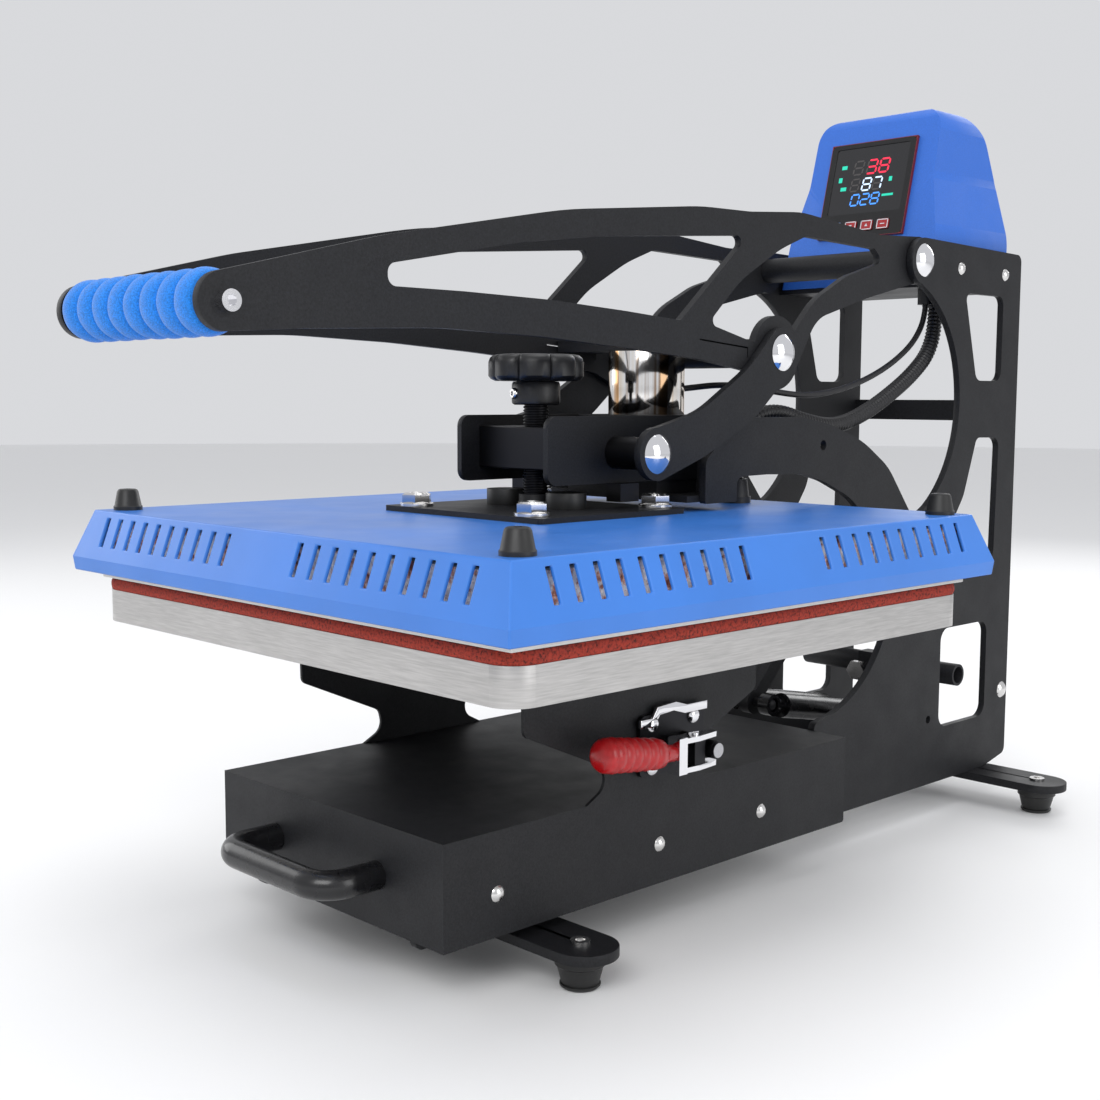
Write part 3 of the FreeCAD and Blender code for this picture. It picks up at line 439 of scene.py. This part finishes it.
def prism(name, outline, base, u, v, along, bevel=0.0, segments=2):
    """Flat outline (u, v pairs) pushed along a vector, with its edges rounded."""
    shape = bmesh.new()
    corners = [shape.verts.new(Vector(base) + Vector(u) * p[0] + Vector(v) * p[1]) for p in outline]
    face = shape.faces.new(corners)
    pushed = bmesh.ops.extrude_face_region(shape, geom=[face])
    moved = [g for g in pushed["geom"] if isinstance(g, bmesh.types.BMVert)]
    bmesh.ops.translate(shape, verts=moved, vec=Vector(along))
    bmesh.ops.recalc_face_normals(shape, faces=shape.faces)
    if bevel:
        bmesh.ops.bevel(
            shape, geom=shape.edges[:], offset=bevel, segments=segments, affect="EDGES", profile=0.5,
            clamp_overlap=True)
    data = bpy.data.meshes.new(name)
    shape.to_mesh(data)
    shape.free()
    return data


def rectangle(half_u, half_v):
    return [(-half_u, -half_v), (half_u, -half_v), (half_u, half_v), (-half_u, half_v)]


def spline_points(route, samples=16):
    """Points on the smooth curve that has the route's points as its control points."""
    data = bpy.data.curves.new("route", "CURVE")
    data.dimensions = "3D"
    spline = data.splines.new("NURBS")
    spline.points.add(len(route) - 1)
    for point, (x, y, z) in zip(spline.points, route):
        point.co = (*place(x, y, z), 1)
    spline.order_u = 3
    spline.use_endpoint_u = True
    data.resolution_u = samples
    holder = bpy.data.objects.new("route", data)
    bpy.context.scene.collection.objects.link(holder)
    bpy.context.view_layer.update()
    line = bpy.data.meshes.new_from_object(holder)
    points = [v.co.copy() for v in line.vertices]
    bpy.data.objects.remove(holder)
    return points


def evenly(points, gap):
    """Points a fixed gap apart along a line."""
    result = [points[0].copy()]
    left = gap
    for a, b in zip(points, points[1:]):
        length = (b - a).length
        done = 0.0
        while length - done >= left:
            done += left
            result.append(a.lerp(b, done / length))
            left = gap
        left -= length - done
    return result


def swept_tube(name, points, radius_of, steps=20):
    """Round tube along points; radius_of(index) gives each ring's radius."""
    vertices = []
    side = None
    for index, point in enumerate(points):
        ahead = points[min(index + 1, len(points) - 1)] - points[max(index - 1, 0)]
        ahead.normalize()
        if side is None:
            side = ahead.orthogonal().normalized()
        side = (side - ahead * side.dot(ahead)).normalized()
        other = ahead.cross(side)
        for step in range(steps):
            angle = 2 * math.pi * step / steps
            vertices.append(point + (side * math.cos(angle) + other * math.sin(angle)) * radius_of(index))
    return mesh_from(name, vertices, ring_faces(len(points), steps))


# ---- soft and turned pieces ---------------------------------------------------------------
def middle_of(node):
    low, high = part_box(node)
    return (low + high) / 2


GRIP_RINGS = 8
GRIP_RING_STEPS = 16
GRIP_BORE = 0.0112
GRIP_GROOVE = 0.0048
GRIP_SWELL = 0.0047
GRIP_ROUNDNESS = 0.42
GRIP_END = 0.0004


def make_grip():
    low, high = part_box("foam_grip")
    centre = middle_of("foam_grip")
    outer = (high.z - low.z) / 2
    length = high.x - low.x
    end_radius = outer - 0.0050
    profile = [(0.0, GRIP_BORE), (GRIP_END, end_radius)]
    for ring in range(GRIP_RINGS):
        for step in range(GRIP_RING_STEPS):
            share = step / GRIP_RING_STEPS
            along = (ring + share) * length / GRIP_RINGS
            swell = math.sin(math.pi * share) ** GRIP_ROUNDNESS if step else 0.0
            profile.append((max(along, 2 * GRIP_END), outer - GRIP_GROOVE + GRIP_SWELL * swell))
    profile.append((length - GRIP_END, end_radius))
    profile.append((length, GRIP_BORE))

    def uneven(angle, along):
        return 1 + 0.006 * math.sin(3 * angle + along * 90) + 0.004 * math.sin(7 * angle - along * 210)

    data = turned("grip_foam", profile, (low.x, centre.y, centre.z), RIGHT, 64, uneven)
    grip = add_piece("grip_foam", data, "foam", "lever", 50)
    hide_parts("foam_grip")


PAD_CORNER = 0.015
PAD_CORNER_STEPS = 10
PAD_SPACING = 0.004
PAD_LEVELS = ((0.0002, -0.0006), (0.12, 0.0), (0.35, 0.0004), (0.65, 0.0004), (0.88, 0.0), (0.9998, -0.0006))


def rounded_square(low, high, radius, steps):
    outline = []
    for cx, cy, start in (
            (high.x - radius, high.y - radius, 0), (low.x + radius, high.y - radius, 90),
            (low.x + radius, low.y + radius, 180), (high.x - radius, low.y + radius, 270)):
        for step in range(steps + 1):
            angle = math.radians(start + 90 * step / steps)
            outline.append((cx + radius * math.cos(angle), cy + radius * math.sin(angle)))
    return outline


def divided(outline, spacing):
    """The closed outline with points added along its long sides."""
    dense = []
    for index, point in enumerate(outline):
        following = outline[(index + 1) % len(outline)]
        count = max(1, int(math.dist(point, following) / spacing))
        for step in range(count):
            share = step / count
            x = point[0] + (following[0] - point[0]) * share
            y = point[1] + (following[1] - point[1]) * share
            dense.append((x, y))
    return dense


def make_pad():
    low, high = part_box("silicone_pad")
    thick = high.z - low.z
    centre = middle_of("silicone_pad")
    dense = divided(rounded_square(low, high, PAD_CORNER, PAD_CORNER_STEPS), PAD_SPACING)
    vertices = []
    for share, out in PAD_LEVELS:
        for x, y in dense:
            ragged = random.uniform(-0.00022, 0.00012) if 0.01 < share < 0.99 else 0.0
            grow = 1 + (out + ragged) / math.hypot(x - centre.x, y - centre.y)
            z = low.z + thick * share
            vertices.append((centre.x + (x - centre.x) * grow, centre.y + (y - centre.y) * grow, z))
    data = mesh_from("pad_sponge", vertices, ring_faces(len(PAD_LEVELS), len(dense)))
    pad = add_piece("pad_sponge", data, "silicone", "drawer", 40)
    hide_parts("silicone_pad")


KNOB_LOBES = 8
KNOB_HEIGHT = 0.0164
SET_SCREW_FACING = (-0.25, -0.97, 0)


def make_knob():
    low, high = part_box("pressure_knob")
    centre = middle_of("spindle")
    outer = (high.x - low.x) / 2
    profile = [
        (0.0, 0.0085), (0.0, outer * 0.86), (0.0012, outer * 0.95), (0.003, outer), (0.0115, outer),
        (0.0142, outer * 0.965), (0.0158, outer * 0.90), (0.0163, outer * 0.82), (0.0155, outer * 0.72),
        (0.0148, outer * 0.5), (0.0146, outer * 0.2), (0.0146, 0.0004),
    ]

    def lobes(angle, along):
        depth = 0.13 * min(1.0, 0.5 + along / 0.004)
        wave = abs(math.cos(KNOB_LOBES / 2 * angle)) ** 0.55
        return 1 - depth * (1 - wave)

    start = Vector((centre.x, centre.y, high.z - KNOB_HEIGHT))
    head = turned("knob_head", profile, start, UP, 128, lobes)
    collar_profile = [
        (0.0, 0.0082), (0.0, 0.0132), (0.0008, 0.0146), (0.002, 0.015), (0.0125, 0.015), (0.0142, 0.0142),
        (0.0146, 0.0082)]
    collar = turned("knob_collar", collar_profile, Vector((centre.x, centre.y, low.z)), UP, 48)
    data = joined("knob_body", [head, collar])
    knob = add_piece("knob_body", data, "knob", "spindle", 35)
    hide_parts("pressure_knob")
    facing = Vector(SET_SCREW_FACING).normalized()
    screw_at = Vector((centre.x, centre.y, low.z + 0.007)) + facing * 0.0142
    screw_profile = [
        (0.0, 0.0034), (0.0018, 0.0034), (0.0026, 0.0027), (0.0026, 0.0015), (0.0014, 0.0014),
        (0.0014, 0.0002)]
    screw = turned("knob_set_screw", screw_profile, screw_at, facing, 24)
    add_piece("knob_set_screw", screw, "zinc", "spindle", 35)


THREAD_PITCH = 0.002
THREAD_DEPTH = 0.0009
THREAD_MARGIN = 0.0005


def make_spindle():
    low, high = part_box("spindle")
    centre = middle_of("spindle")
    outer = (high.x - low.x) / 2
    root = outer - THREAD_DEPTH
    profile = [(0.0, root)]
    turns = int((high.z - low.z - 2 * THREAD_MARGIN) / THREAD_PITCH)
    for turn in range(turns):
        base = THREAD_MARGIN + turn * THREAD_PITCH
        for share, radius in ((0.0, root), (0.35, outer), (0.5, outer), (0.85, root)):
            profile.append((base + THREAD_PITCH * share, radius))
    profile.append((high.z - low.z, root))
    data = turned("screw_thread", profile, (centre.x, centre.y, low.z), UP, 40)
    screw = add_piece("screw_thread", data, "black_steel", "spindle", 30)
    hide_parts("spindle")


HEX_SIDES = 6
BOLT_HEAD_R = 0.0098
BOLT_HEAD_H = 0.0064
WASHER_R = 0.0105
WASHER_H = 0.002
PLATE_THICK = 0.0033


def hexed(angle, along=0.0):
    """Share of the corner radius at an angle round a hexagon."""
    sector = (angle + math.pi / HEX_SIDES) % (2 * math.pi / HEX_SIDES) - math.pi / HEX_SIDES
    return math.cos(math.pi / HEX_SIDES) / math.cos(sector)


def bolt_mesh(name, base):
    """Hexagon bolt head with a chamfered top on a washer, standing up from base."""
    washer = turned(name, [
        (0.0, WASHER_R * 0.3), (0.0, WASHER_R - 0.0002), (0.0002, WASHER_R), (WASHER_H - 0.0003, WASHER_R),
        (WASHER_H, WASHER_R - 0.0003), (WASHER_H, WASHER_R * 0.3)], base, UP, 40)
    flat = BOLT_HEAD_R * math.cos(math.pi / HEX_SIDES)
    top = BOLT_HEAD_H
    seat = Vector(base) + Vector((0, 0, WASHER_H))
    side = [(0.0, BOLT_HEAD_R * 0.98), (0.0003, BOLT_HEAD_R), (top - 0.0011, BOLT_HEAD_R)]
    body = turned(name, side, seat, UP, 48, hexed)
    crown = turned(name, [
        (top - 0.0012, BOLT_HEAD_R * 0.97), (top, flat * 0.86), (top, flat * 0.55),
        (top - 0.0003, flat * 0.5), (top - 0.0003, 0.0003)], seat, UP, 48,
        lambda angle, along: hexed(angle) if along < top - 0.0006 else 1)
    return [washer, body, crown]


def make_mounting_bolts():
    low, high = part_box("mounting_bolts")
    plate_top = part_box("mounting_plate")[0].z + PLATE_THICK
    meshes = []
    for x in (low.x + WASHER_R, high.x - WASHER_R):
        for y in (low.y + WASHER_R, high.y - WASHER_R):
            meshes += bolt_mesh("hex_bolts", (x, y, plate_top))
    bolts = add_piece("hex_bolts", joined("hex_bolts", meshes), "zinc", "head", 30)
    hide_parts("mounting_bolts")


def at_corners(name, node, reach, profile, steps):
    """One turned mesh standing at each corner of a node's box, reach in from its sides."""
    low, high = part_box(node)
    meshes = []
    for x in (low.x + reach, high.x - reach):
        for y in (low.y + reach, high.y - reach):
            meshes.append(turned(name, profile, (x, y, low.z), UP, steps))
    return joined(name, meshes)


BUMPER_R = 0.0088
FOOT_R = 0.014


def make_bumpers():
    low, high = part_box("cover_bumpers")
    height = high.z - low.z
    profile = [
        (0.0, 0.001), (0.0, BUMPER_R), (0.0022, BUMPER_R), (0.003, BUMPER_R * 0.93),
        (height - 0.0016, 0.0065), (height - 0.0004, 0.0058), (height, 0.0048), (height, 0.0024),
        (height - 0.002, 0.0022), (height - 0.002, 0.0003)]
    data = at_corners("corner_bumpers", "cover_bumpers", BUMPER_R, profile, 40)
    bumpers = add_piece("corner_bumpers", data, "rubber", "head", 35)
    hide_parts("cover_bumpers")


def make_feet():
    low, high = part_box("rubber_feet")
    height = high.z - low.z
    profile = [
        (0.0, 0.003), (0.0, 0.0098), (0.0012, 0.0112), (0.0022, 0.0112), (0.0026, 0.0104),
        (height - 0.006, 0.0128), (height - 0.005, FOOT_R), (height - 0.0008, FOOT_R), (height, 0.0132),
        (height, 0.0035)]
    data = at_corners("foot_rubbers", "rubber_feet", FOOT_R, profile, 44)
    feet = add_piece("foot_rubbers", data, "rubber", "root", 35)
    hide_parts("rubber_feet")


# ---- leads ---------------------------------------------------------------------------------
CONDUIT_ROUTE = [
    (46, 572, 221.6), (46, 573, 199), (46, 565, 175), (46, 541, 157), (45, 511, 141), (44, 479, 127),
    (43, 447, 119), (40, 417, 123), (36, 389, 131), (32, 366, 126), (30, 354, 105), (30, 353, 78),
]
CABLE_ROUTE = [
    (52, 549, 221.8), (52, 549.6, 203), (52, 536, 183), (51, 511, 167), (50, 479, 154), (47, 446, 145),
    (43, 414, 141), (37, 384, 144), (30, 361, 148), (17, 347, 148.5), (3.6, 337, 146.5), (1, 320.7, 145),
]


CONDUIT_GAP = 0.00075
CONDUIT_R = 0.0050
CONDUIT_RIB = 0.0009
RIB_POINTS = 4
GLAND_POINTS = 60
GLAND_SLIMMER = 0.0006
CABLE_GAP = 0.0025
CABLE_R = 0.0021


def make_lead(name, points, radius_of, node):
    data = swept_tube(name, points, radius_of)
    lead = add_piece(name, data, "plastic", None, 60)
    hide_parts(node)
    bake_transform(lead)


def make_leads():
    points = evenly(spline_points(CONDUIT_ROUTE), CONDUIT_GAP)
    gland_from = len(points) - GLAND_POINTS

    def corrugated(index):
        wave = (1 + math.cos(2 * math.pi * index / RIB_POINTS)) / 2
        return CONDUIT_R - (GLAND_SLIMMER if index > gland_from else 0.0) + CONDUIT_RIB * wave

    make_lead("corrugated_conduit", points, corrugated, "heater_conduit")
    points = evenly(spline_points(CABLE_ROUTE), CABLE_GAP)
    make_lead("magnet_lead", points, lambda index: CABLE_R, "magnet_cable")


# ---- display ---------------------------------------------------------------------------------
FACE_AT = (0.0, 537.0, 264.0)
FACE_U = Vector((1, 0, 0))
FACE_V = Vector((0, math.sin(FACE_TILT), math.cos(FACE_TILT)))
FACE_OUT = Vector((0, -math.cos(FACE_TILT), math.sin(FACE_TILT)))
SCREEN_OUT = 2.02
PRINT_THICK = 0.12


def on_face(x, up, out):
    """Point on the control box's sloping face, in layout millimetres."""
    return place(*FACE_AT) + (FACE_U * x + FACE_V * up + FACE_OUT * out) * MM


def face_prism(name, outline, x, up, out, thick, bevel=0.0):
    """Flat outline in metres laid on the sloping face; its place and thickness are millimetres."""
    return prism(name, outline, on_face(x, up, out), FACE_U, FACE_V, FACE_OUT * thick * MM, bevel, 1)


SEGMENTS = {
    "0": "abcdef", "2": "abged", "3": "abgcd", "7": "abc", "8": "abcdefg", " ": "",
}


def segment_outline(letter, wide, tall):
    """Corners of one bar of a seven-segment digit, about the digit's middle."""
    half_w = wide / 2
    half_t = tall / 2
    thick = 0.17 * wide
    gap = 0.06 * wide
    tip = gap + thick / 2
    if letter in "agd":
        level = {"a": half_t, "g": 0.0, "d": -half_t}[letter]
        above = level + thick / 2
        below = level - thick / 2
        return [
            (-half_w + gap, level), (-half_w + tip, above), (half_w - tip, above),
            (half_w - gap, level), (half_w - tip, below), (-half_w + tip, below)]
    across = half_w if letter in "bc" else -half_w
    right = across + thick / 2
    left = across - thick / 2
    low, high = (0.0, half_t) if letter in "bf" else (-half_t, 0.0)
    return [
        (across, low + gap), (right, low + tip), (right, high - tip),
        (across, high - gap), (left, high - tip), (left, low + tip)]


DIGIT_LEAN = 0.12


def digit_meshes(name, character, x, up, wide, tall, lit):
    meshes = []
    for letter in "abcdefg":
        if (letter in SEGMENTS[character]) == lit:
            outline = segment_outline(letter, wide * MM, tall * MM)
            lean = [(u + DIGIT_LEAN * v, v) for u, v in outline]
            meshes.append(face_prism(name, lean, x, up, SCREEN_OUT, PRINT_THICK))
    return meshes


ROWS = [
    ("top_row", " 38", 54.5, 8.0, 10.6, (-10.5, 1.5, 12.5), "glow_red"),
    ("middle_row", " 87", 40.7, 7.2, 9.5, (-11.5, -1.0, 8.5), "glow_white"),
    ("low_row", "028", 28.6, 6.8, 8.6, (-9.5, -0.5, 8.5), "glow_blue"),
]


MARKS = (
    (-24, 56.0, 2.4, 1.5), (-26, 46, 1.6, 2.0), (-22, 38.5, 2.6, 1.5), (20, 43, 1.4, 1.8),
    (19.5, 30.5, 5.0, 0.9))
MARK_BEVEL = 0.00004
PANEL_TOP = 74.5
PANEL_BOTTOM = -1.0
PANEL_HALF_TALL = 38.2
EDGE_HALF = 0.5
EDGE_THICK = 2.4


def make_display():
    unlit = []
    for name, text, up, wide, tall, across, finish in ROWS:
        lit = []
        for character, x in zip(text, across):
            lit += digit_meshes(name, character, x, up, wide, tall, True)
            if name != "low_row":
                unlit += digit_meshes(name, character, x, up, wide, tall, False)
        add_piece("digits_" + name, joined(name, lit), finish, "root")
    add_piece("digits_unlit", joined("digits_unlit", unlit), "unlit", "root")
    marks = []
    for x, up, half_u, half_v in MARKS:
        outline = rectangle(half_u * MM, half_v * MM)
        marks.append(face_prism("marks", outline, x, up, SCREEN_OUT, PRINT_THICK, MARK_BEVEL))
    add_piece("display_marks", joined("display_marks", marks), "glow_teal", "root")

    low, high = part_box("display_bezel")
    half_wide = (high.x - low.x) / 2 / MM
    middle_up = (PANEL_TOP + PANEL_BOTTOM) / 2
    edges = []
    for x, up, half_u, half_v in (
            (-half_wide, middle_up, EDGE_HALF, PANEL_HALF_TALL),
            (half_wide, middle_up, EDGE_HALF, PANEL_HALF_TALL),
            (0, PANEL_TOP, half_wide, EDGE_HALF), (0, PANEL_BOTTOM, half_wide, EDGE_HALF)):
        edges.append(face_prism("edge", rectangle(half_u * MM, half_v * MM), x, up, 0.1, EDGE_THICK))
    add_piece("panel_edge", joined("panel_edge", edges), "edge_red", "root")


BUTTON_UP = 7.0
BUTTON_TOP = 3.62
RIM_THICK = 0.15
RIM_BARS = ((-4.6, 0, 0.35, 3.65), (4.6, 0, 0.35, 3.65), (0, 3.3, 4.9, 0.35), (0, -3.3, 4.9, 0.35))
BUTTON_ARROWS = {1: -1, 2: 1}


def make_buttons():
    for index in range(4):
        node = "button_%d" % (index + 1)
        x = middle_of(node).x / MM
        bars = []
        for dx, dz, half_u, half_v in RIM_BARS:
            outline = rectangle(half_u * MM, half_v * MM)
            bars.append(face_prism("rim", outline, x + dx, BUTTON_UP + dz, BUTTON_TOP, RIM_THICK))
        symbol = rectangle(0.0019, 0.00035)
        if index in BUTTON_ARROWS:
            turn = BUTTON_ARROWS[index]
            symbol = [(-0.0014, -0.0010 * turn), (0.0014, -0.0010 * turn), (0, 0.0014 * turn)]
        bars.append(face_prism("symbol", symbol, x, BUTTON_UP, BUTTON_TOP, PRINT_THICK))
        add_piece("button_rim_%d" % (index + 1), joined("rim", bars), "rim", node)


# ---- latch --------------------------------------------------------------------------------------
SLEEVE_SPAN = ((126, 121.5, -51.9), (126, 182.9, -60.6))
SLEEVE_RIBS = 6
SLEEVE_RIB_STEPS = 8
SLEEVE_R = 0.0104
SLEEVE_TAPER = 0.0018
SLEEVE_RIB_DEPTH = 0.0008
SLEEVE_NECK = 0.0125
BASE_THICK = 0.003
TRIM_SCREWS = ((186, -47.5), (222, -47.5), (186, -73), (222, -73))
TRIM_SCREW_PROFILE = (
    (0.0, 0.001), (0.0, 0.0042), (0.0008, 0.0046), (0.0016, 0.0042), (0.0026, 0.0026), (0.0028, 0.0008))
LIP_AT = (174.5, -43.5)
LIP_OUTLINE = (
    (0, 0), (0.010, 0), (0.014, 0.006), (0.030, 0.007), (0.040, 0.004), (0.058, 0.004), (0.058, -0.001),
    (0.038, -0.001), (0.028, 0.002), (0.016, 0.001), (0.012, -0.005), (0, -0.005))
LIP_THICK = 0.0022
PLUNGER_FACE_PROFILE = ((0.0, 0.001), (0.0, 0.0044), (0.0004, 0.0043), (0.0005, 0.0004))


def make_sleeve():
    start, end = (place(*point) for point in SLEEVE_SPAN)
    length = (end - start).length
    neck = length - SLEEVE_NECK
    profile = [(0.0, 0.0012), (0.0006, 0.0058), (0.002, 0.0082), (0.0048, 0.0097)]
    for rib in range(SLEEVE_RIBS):
        for step in range(SLEEVE_RIB_STEPS):
            share = step / SLEEVE_RIB_STEPS
            along = 0.007 + (rib + share) * (neck - 0.009) / SLEEVE_RIBS
            outer = SLEEVE_R - SLEEVE_TAPER * along / length
            profile.append((along, outer - SLEEVE_RIB_DEPTH * (1 - math.sin(math.pi * share))))
    profile += [(neck, 0.0082), (neck + 0.0022, 0.0054), (length - 0.001, 0.0048), (length, 0.004)]
    data = turned("latch_sleeve", profile, start, end - start, 48)
    sleeve = add_piece("latch_sleeve", data, "red", "latch_handle", 45)
    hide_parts("latch_grip")


def on_latch_base(y, z):
    """Point on the latch base's outer face, at layout y and z."""
    at = place(0, y, z)
    at.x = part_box("drawer_shell")[1].x + BASE_THICK
    return at


def make_latch_trim():
    meshes = []
    for y, z in TRIM_SCREWS:
        meshes.append(turned("screw", TRIM_SCREW_PROFILE, on_latch_base(y, z), RIGHT, 28))
    meshes.append(prism("lip", LIP_OUTLINE, on_latch_base(*LIP_AT), BACK, UP, (LIP_THICK, 0, 0), 0.0004))
    add_piece("latch_trim", joined("latch_trim", meshes), "chrome", "drawer", 40)

    face = middle_of("latch_plunger")
    face.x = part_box("latch_plunger")[1].x - 0.0002
    tip = turned("plunger_face", PLUNGER_FACE_PROFILE, face, RIGHT, 36)
    add_piece("plunger_face", tip, "steel", "latch_plunger", 35)


# ---- heat shield seen through the vents -----------------------------------------------------------
FOIL_COLUMNS = 60
FOIL_ROWS = 5
FOIL_INSET = 0.0025
FOIL_CRUMPLE = 0.0012


def make_foil():
    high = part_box("insulation_board")[1]
    heater_low, heater_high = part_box("heating_plate")
    bottom = heater_high.z + 0.001
    top = high.z - 0.0005
    half = heater_high.x - FOIL_INSET
    centre_y = (heater_low.y + heater_high.y) / 2
    corners = rectangle(half, half)
    ring = []
    for index in range(4):
        a = corners[index]
        b = corners[(index + 1) % 4]
        for step in range(FOIL_COLUMNS):
            share = step / FOIL_COLUMNS
            ring.append((a[0] + (b[0] - a[0]) * share, a[1] + (b[1] - a[1]) * share))
    vertices = []
    for row in range(FOIL_ROWS):
        z = bottom + (top - bottom) * row / (FOIL_ROWS - 1)
        for x, y in ring:
            scale = 1 + random.uniform(-FOIL_CRUMPLE, 0.0) / half
            vertices.append((x * scale, centre_y + y * scale, z))
    data = mesh_from("heat_foil_skirt", vertices, ring_faces(FOIL_ROWS, len(ring), capped=False))
    foil = add_piece("heat_foil_skirt", data, "foil", "head")
    solid = foil.modifiers.new("thickness", "SOLIDIFY")
    solid.thickness = 0.0002


# ---- edges of the sheet metal ------------------------------------------------------------------------
SOFT_EDGES = {
    "heat_cover": 0.0008, "control_box_shell": 0.0012, "drawer_shell": 0.0006, "lower_platen": 0.0008,
    "frame_side_left": 0.0004, "frame_side_right": 0.0004, "lever_sides": 0.0004, "links": 0.0004,
    "arm_sides": 0.0004, "press_beam": 0.0006, "armature_plate": 0.0005, "foot_bars": 0.0005,
    "mounting_plate": 0.0004, "beam_blocks": 0.0005, "heating_plate": 0.0005, "latch_fork": 0.0004,
    "latch_base": 0.0005, "display_bezel": 0.0003, "guide_discs": 0.0008, "electromagnet": 0.0007,
    "frame_cross_members": 0.0004,
}
EDGE_ANGLE = 35
WELD_GAP = 0.00001


def soften_edges():
    for name, width in SOFT_EDGES.items():
        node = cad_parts[name]
        weld = node.modifiers.new("weld", "WELD")
        weld.merge_threshold = WELD_GAP
        bevel = node.modifiers.new("soft_edge", "BEVEL")
        bevel.width = width
        bevel.segments = 2
        bevel.limit_method = "ANGLE"
        bevel.angle_limit = math.radians(EDGE_ANGLE)
        bevel.use_clamp_overlap = True


# ---- studio ------------------------------------------------------------------------------------------
FLOOR_REACH = 9.0
FLOOR_DROP = 0.0002
AIM_AT = (0.0, 0.0, 0.22)
LIGHTS = (
    ("key", (1.4, 1.0), 22, (0.9, -1.7, 1.5)),
    ("left_fill", (1.2, 1.2), 9, (-1.9, -0.7, 0.9)),
    ("right_fill", (1.0, 1.4), 10, (2.1, 0.3, 0.8)),
    ("top", (1.6, 1.6), 12, (0.0, 0.2, 2.2)),
    ("rear", (1.4, 0.8), 10, (-0.5, 2.0, 1.2)),
)
WORLD_COLOUR = (0.96, 0.97, 1.0, 1)
WORLD_STRENGTH = 0.72


def add_floor():
    data = bpy.data.meshes.new("floor")
    disc = bmesh.new()
    bmesh.ops.create_circle(disc, cap_ends=True, radius=FLOOR_REACH, segments=96)
    disc.to_mesh(data)
    disc.free()
    floor = bpy.data.objects.new("floor", data)
    floor.location.z = -FLOOR_DROP
    bpy.context.scene.collection.objects.link(floor)
    paint = Paint("studio_floor", (0.86, 0.86, 0.86), 0.65)
    paint.vary_rough(3, 0.03)
    floor.data.materials.append(paint.material)


def add_light(name, size, energy, position):
    data = bpy.data.lights.new(name, "AREA")
    data.shape = "RECTANGLE"
    data.size, data.size_y = size
    data.energy = energy
    light = bpy.data.objects.new(name, data)
    light.location = position
    light.rotation_euler = (Vector(AIM_AT) - Vector(position)).to_track_quat("-Z", "Y").to_euler()
    bpy.context.scene.collection.objects.link(light)


def add_studio():
    add_floor()
    world = bpy.data.worlds.new("studio")
    bpy.context.scene.world = world
    world.use_nodes = True
    background = world.node_tree.nodes["Background"]
    background.inputs["Color"].default_value = WORLD_COLOUR
    background.inputs["Strength"].default_value = WORLD_STRENGTH
    for light in LIGHTS:
        add_light(*light)
    bpy.context.scene.view_settings.view_transform = "Standard"


# ---- the scene ----------------------------------------------------------------------------------------
add_camera()
finish_nodes()
make_leads()
make_grip()
make_pad()
make_knob()
make_spindle()
make_mounting_bolts()
make_bumpers()
make_feet()
make_display()
make_buttons()
make_sleeve()
make_latch_trim()
make_foil()
soften_edges()
add_studio()
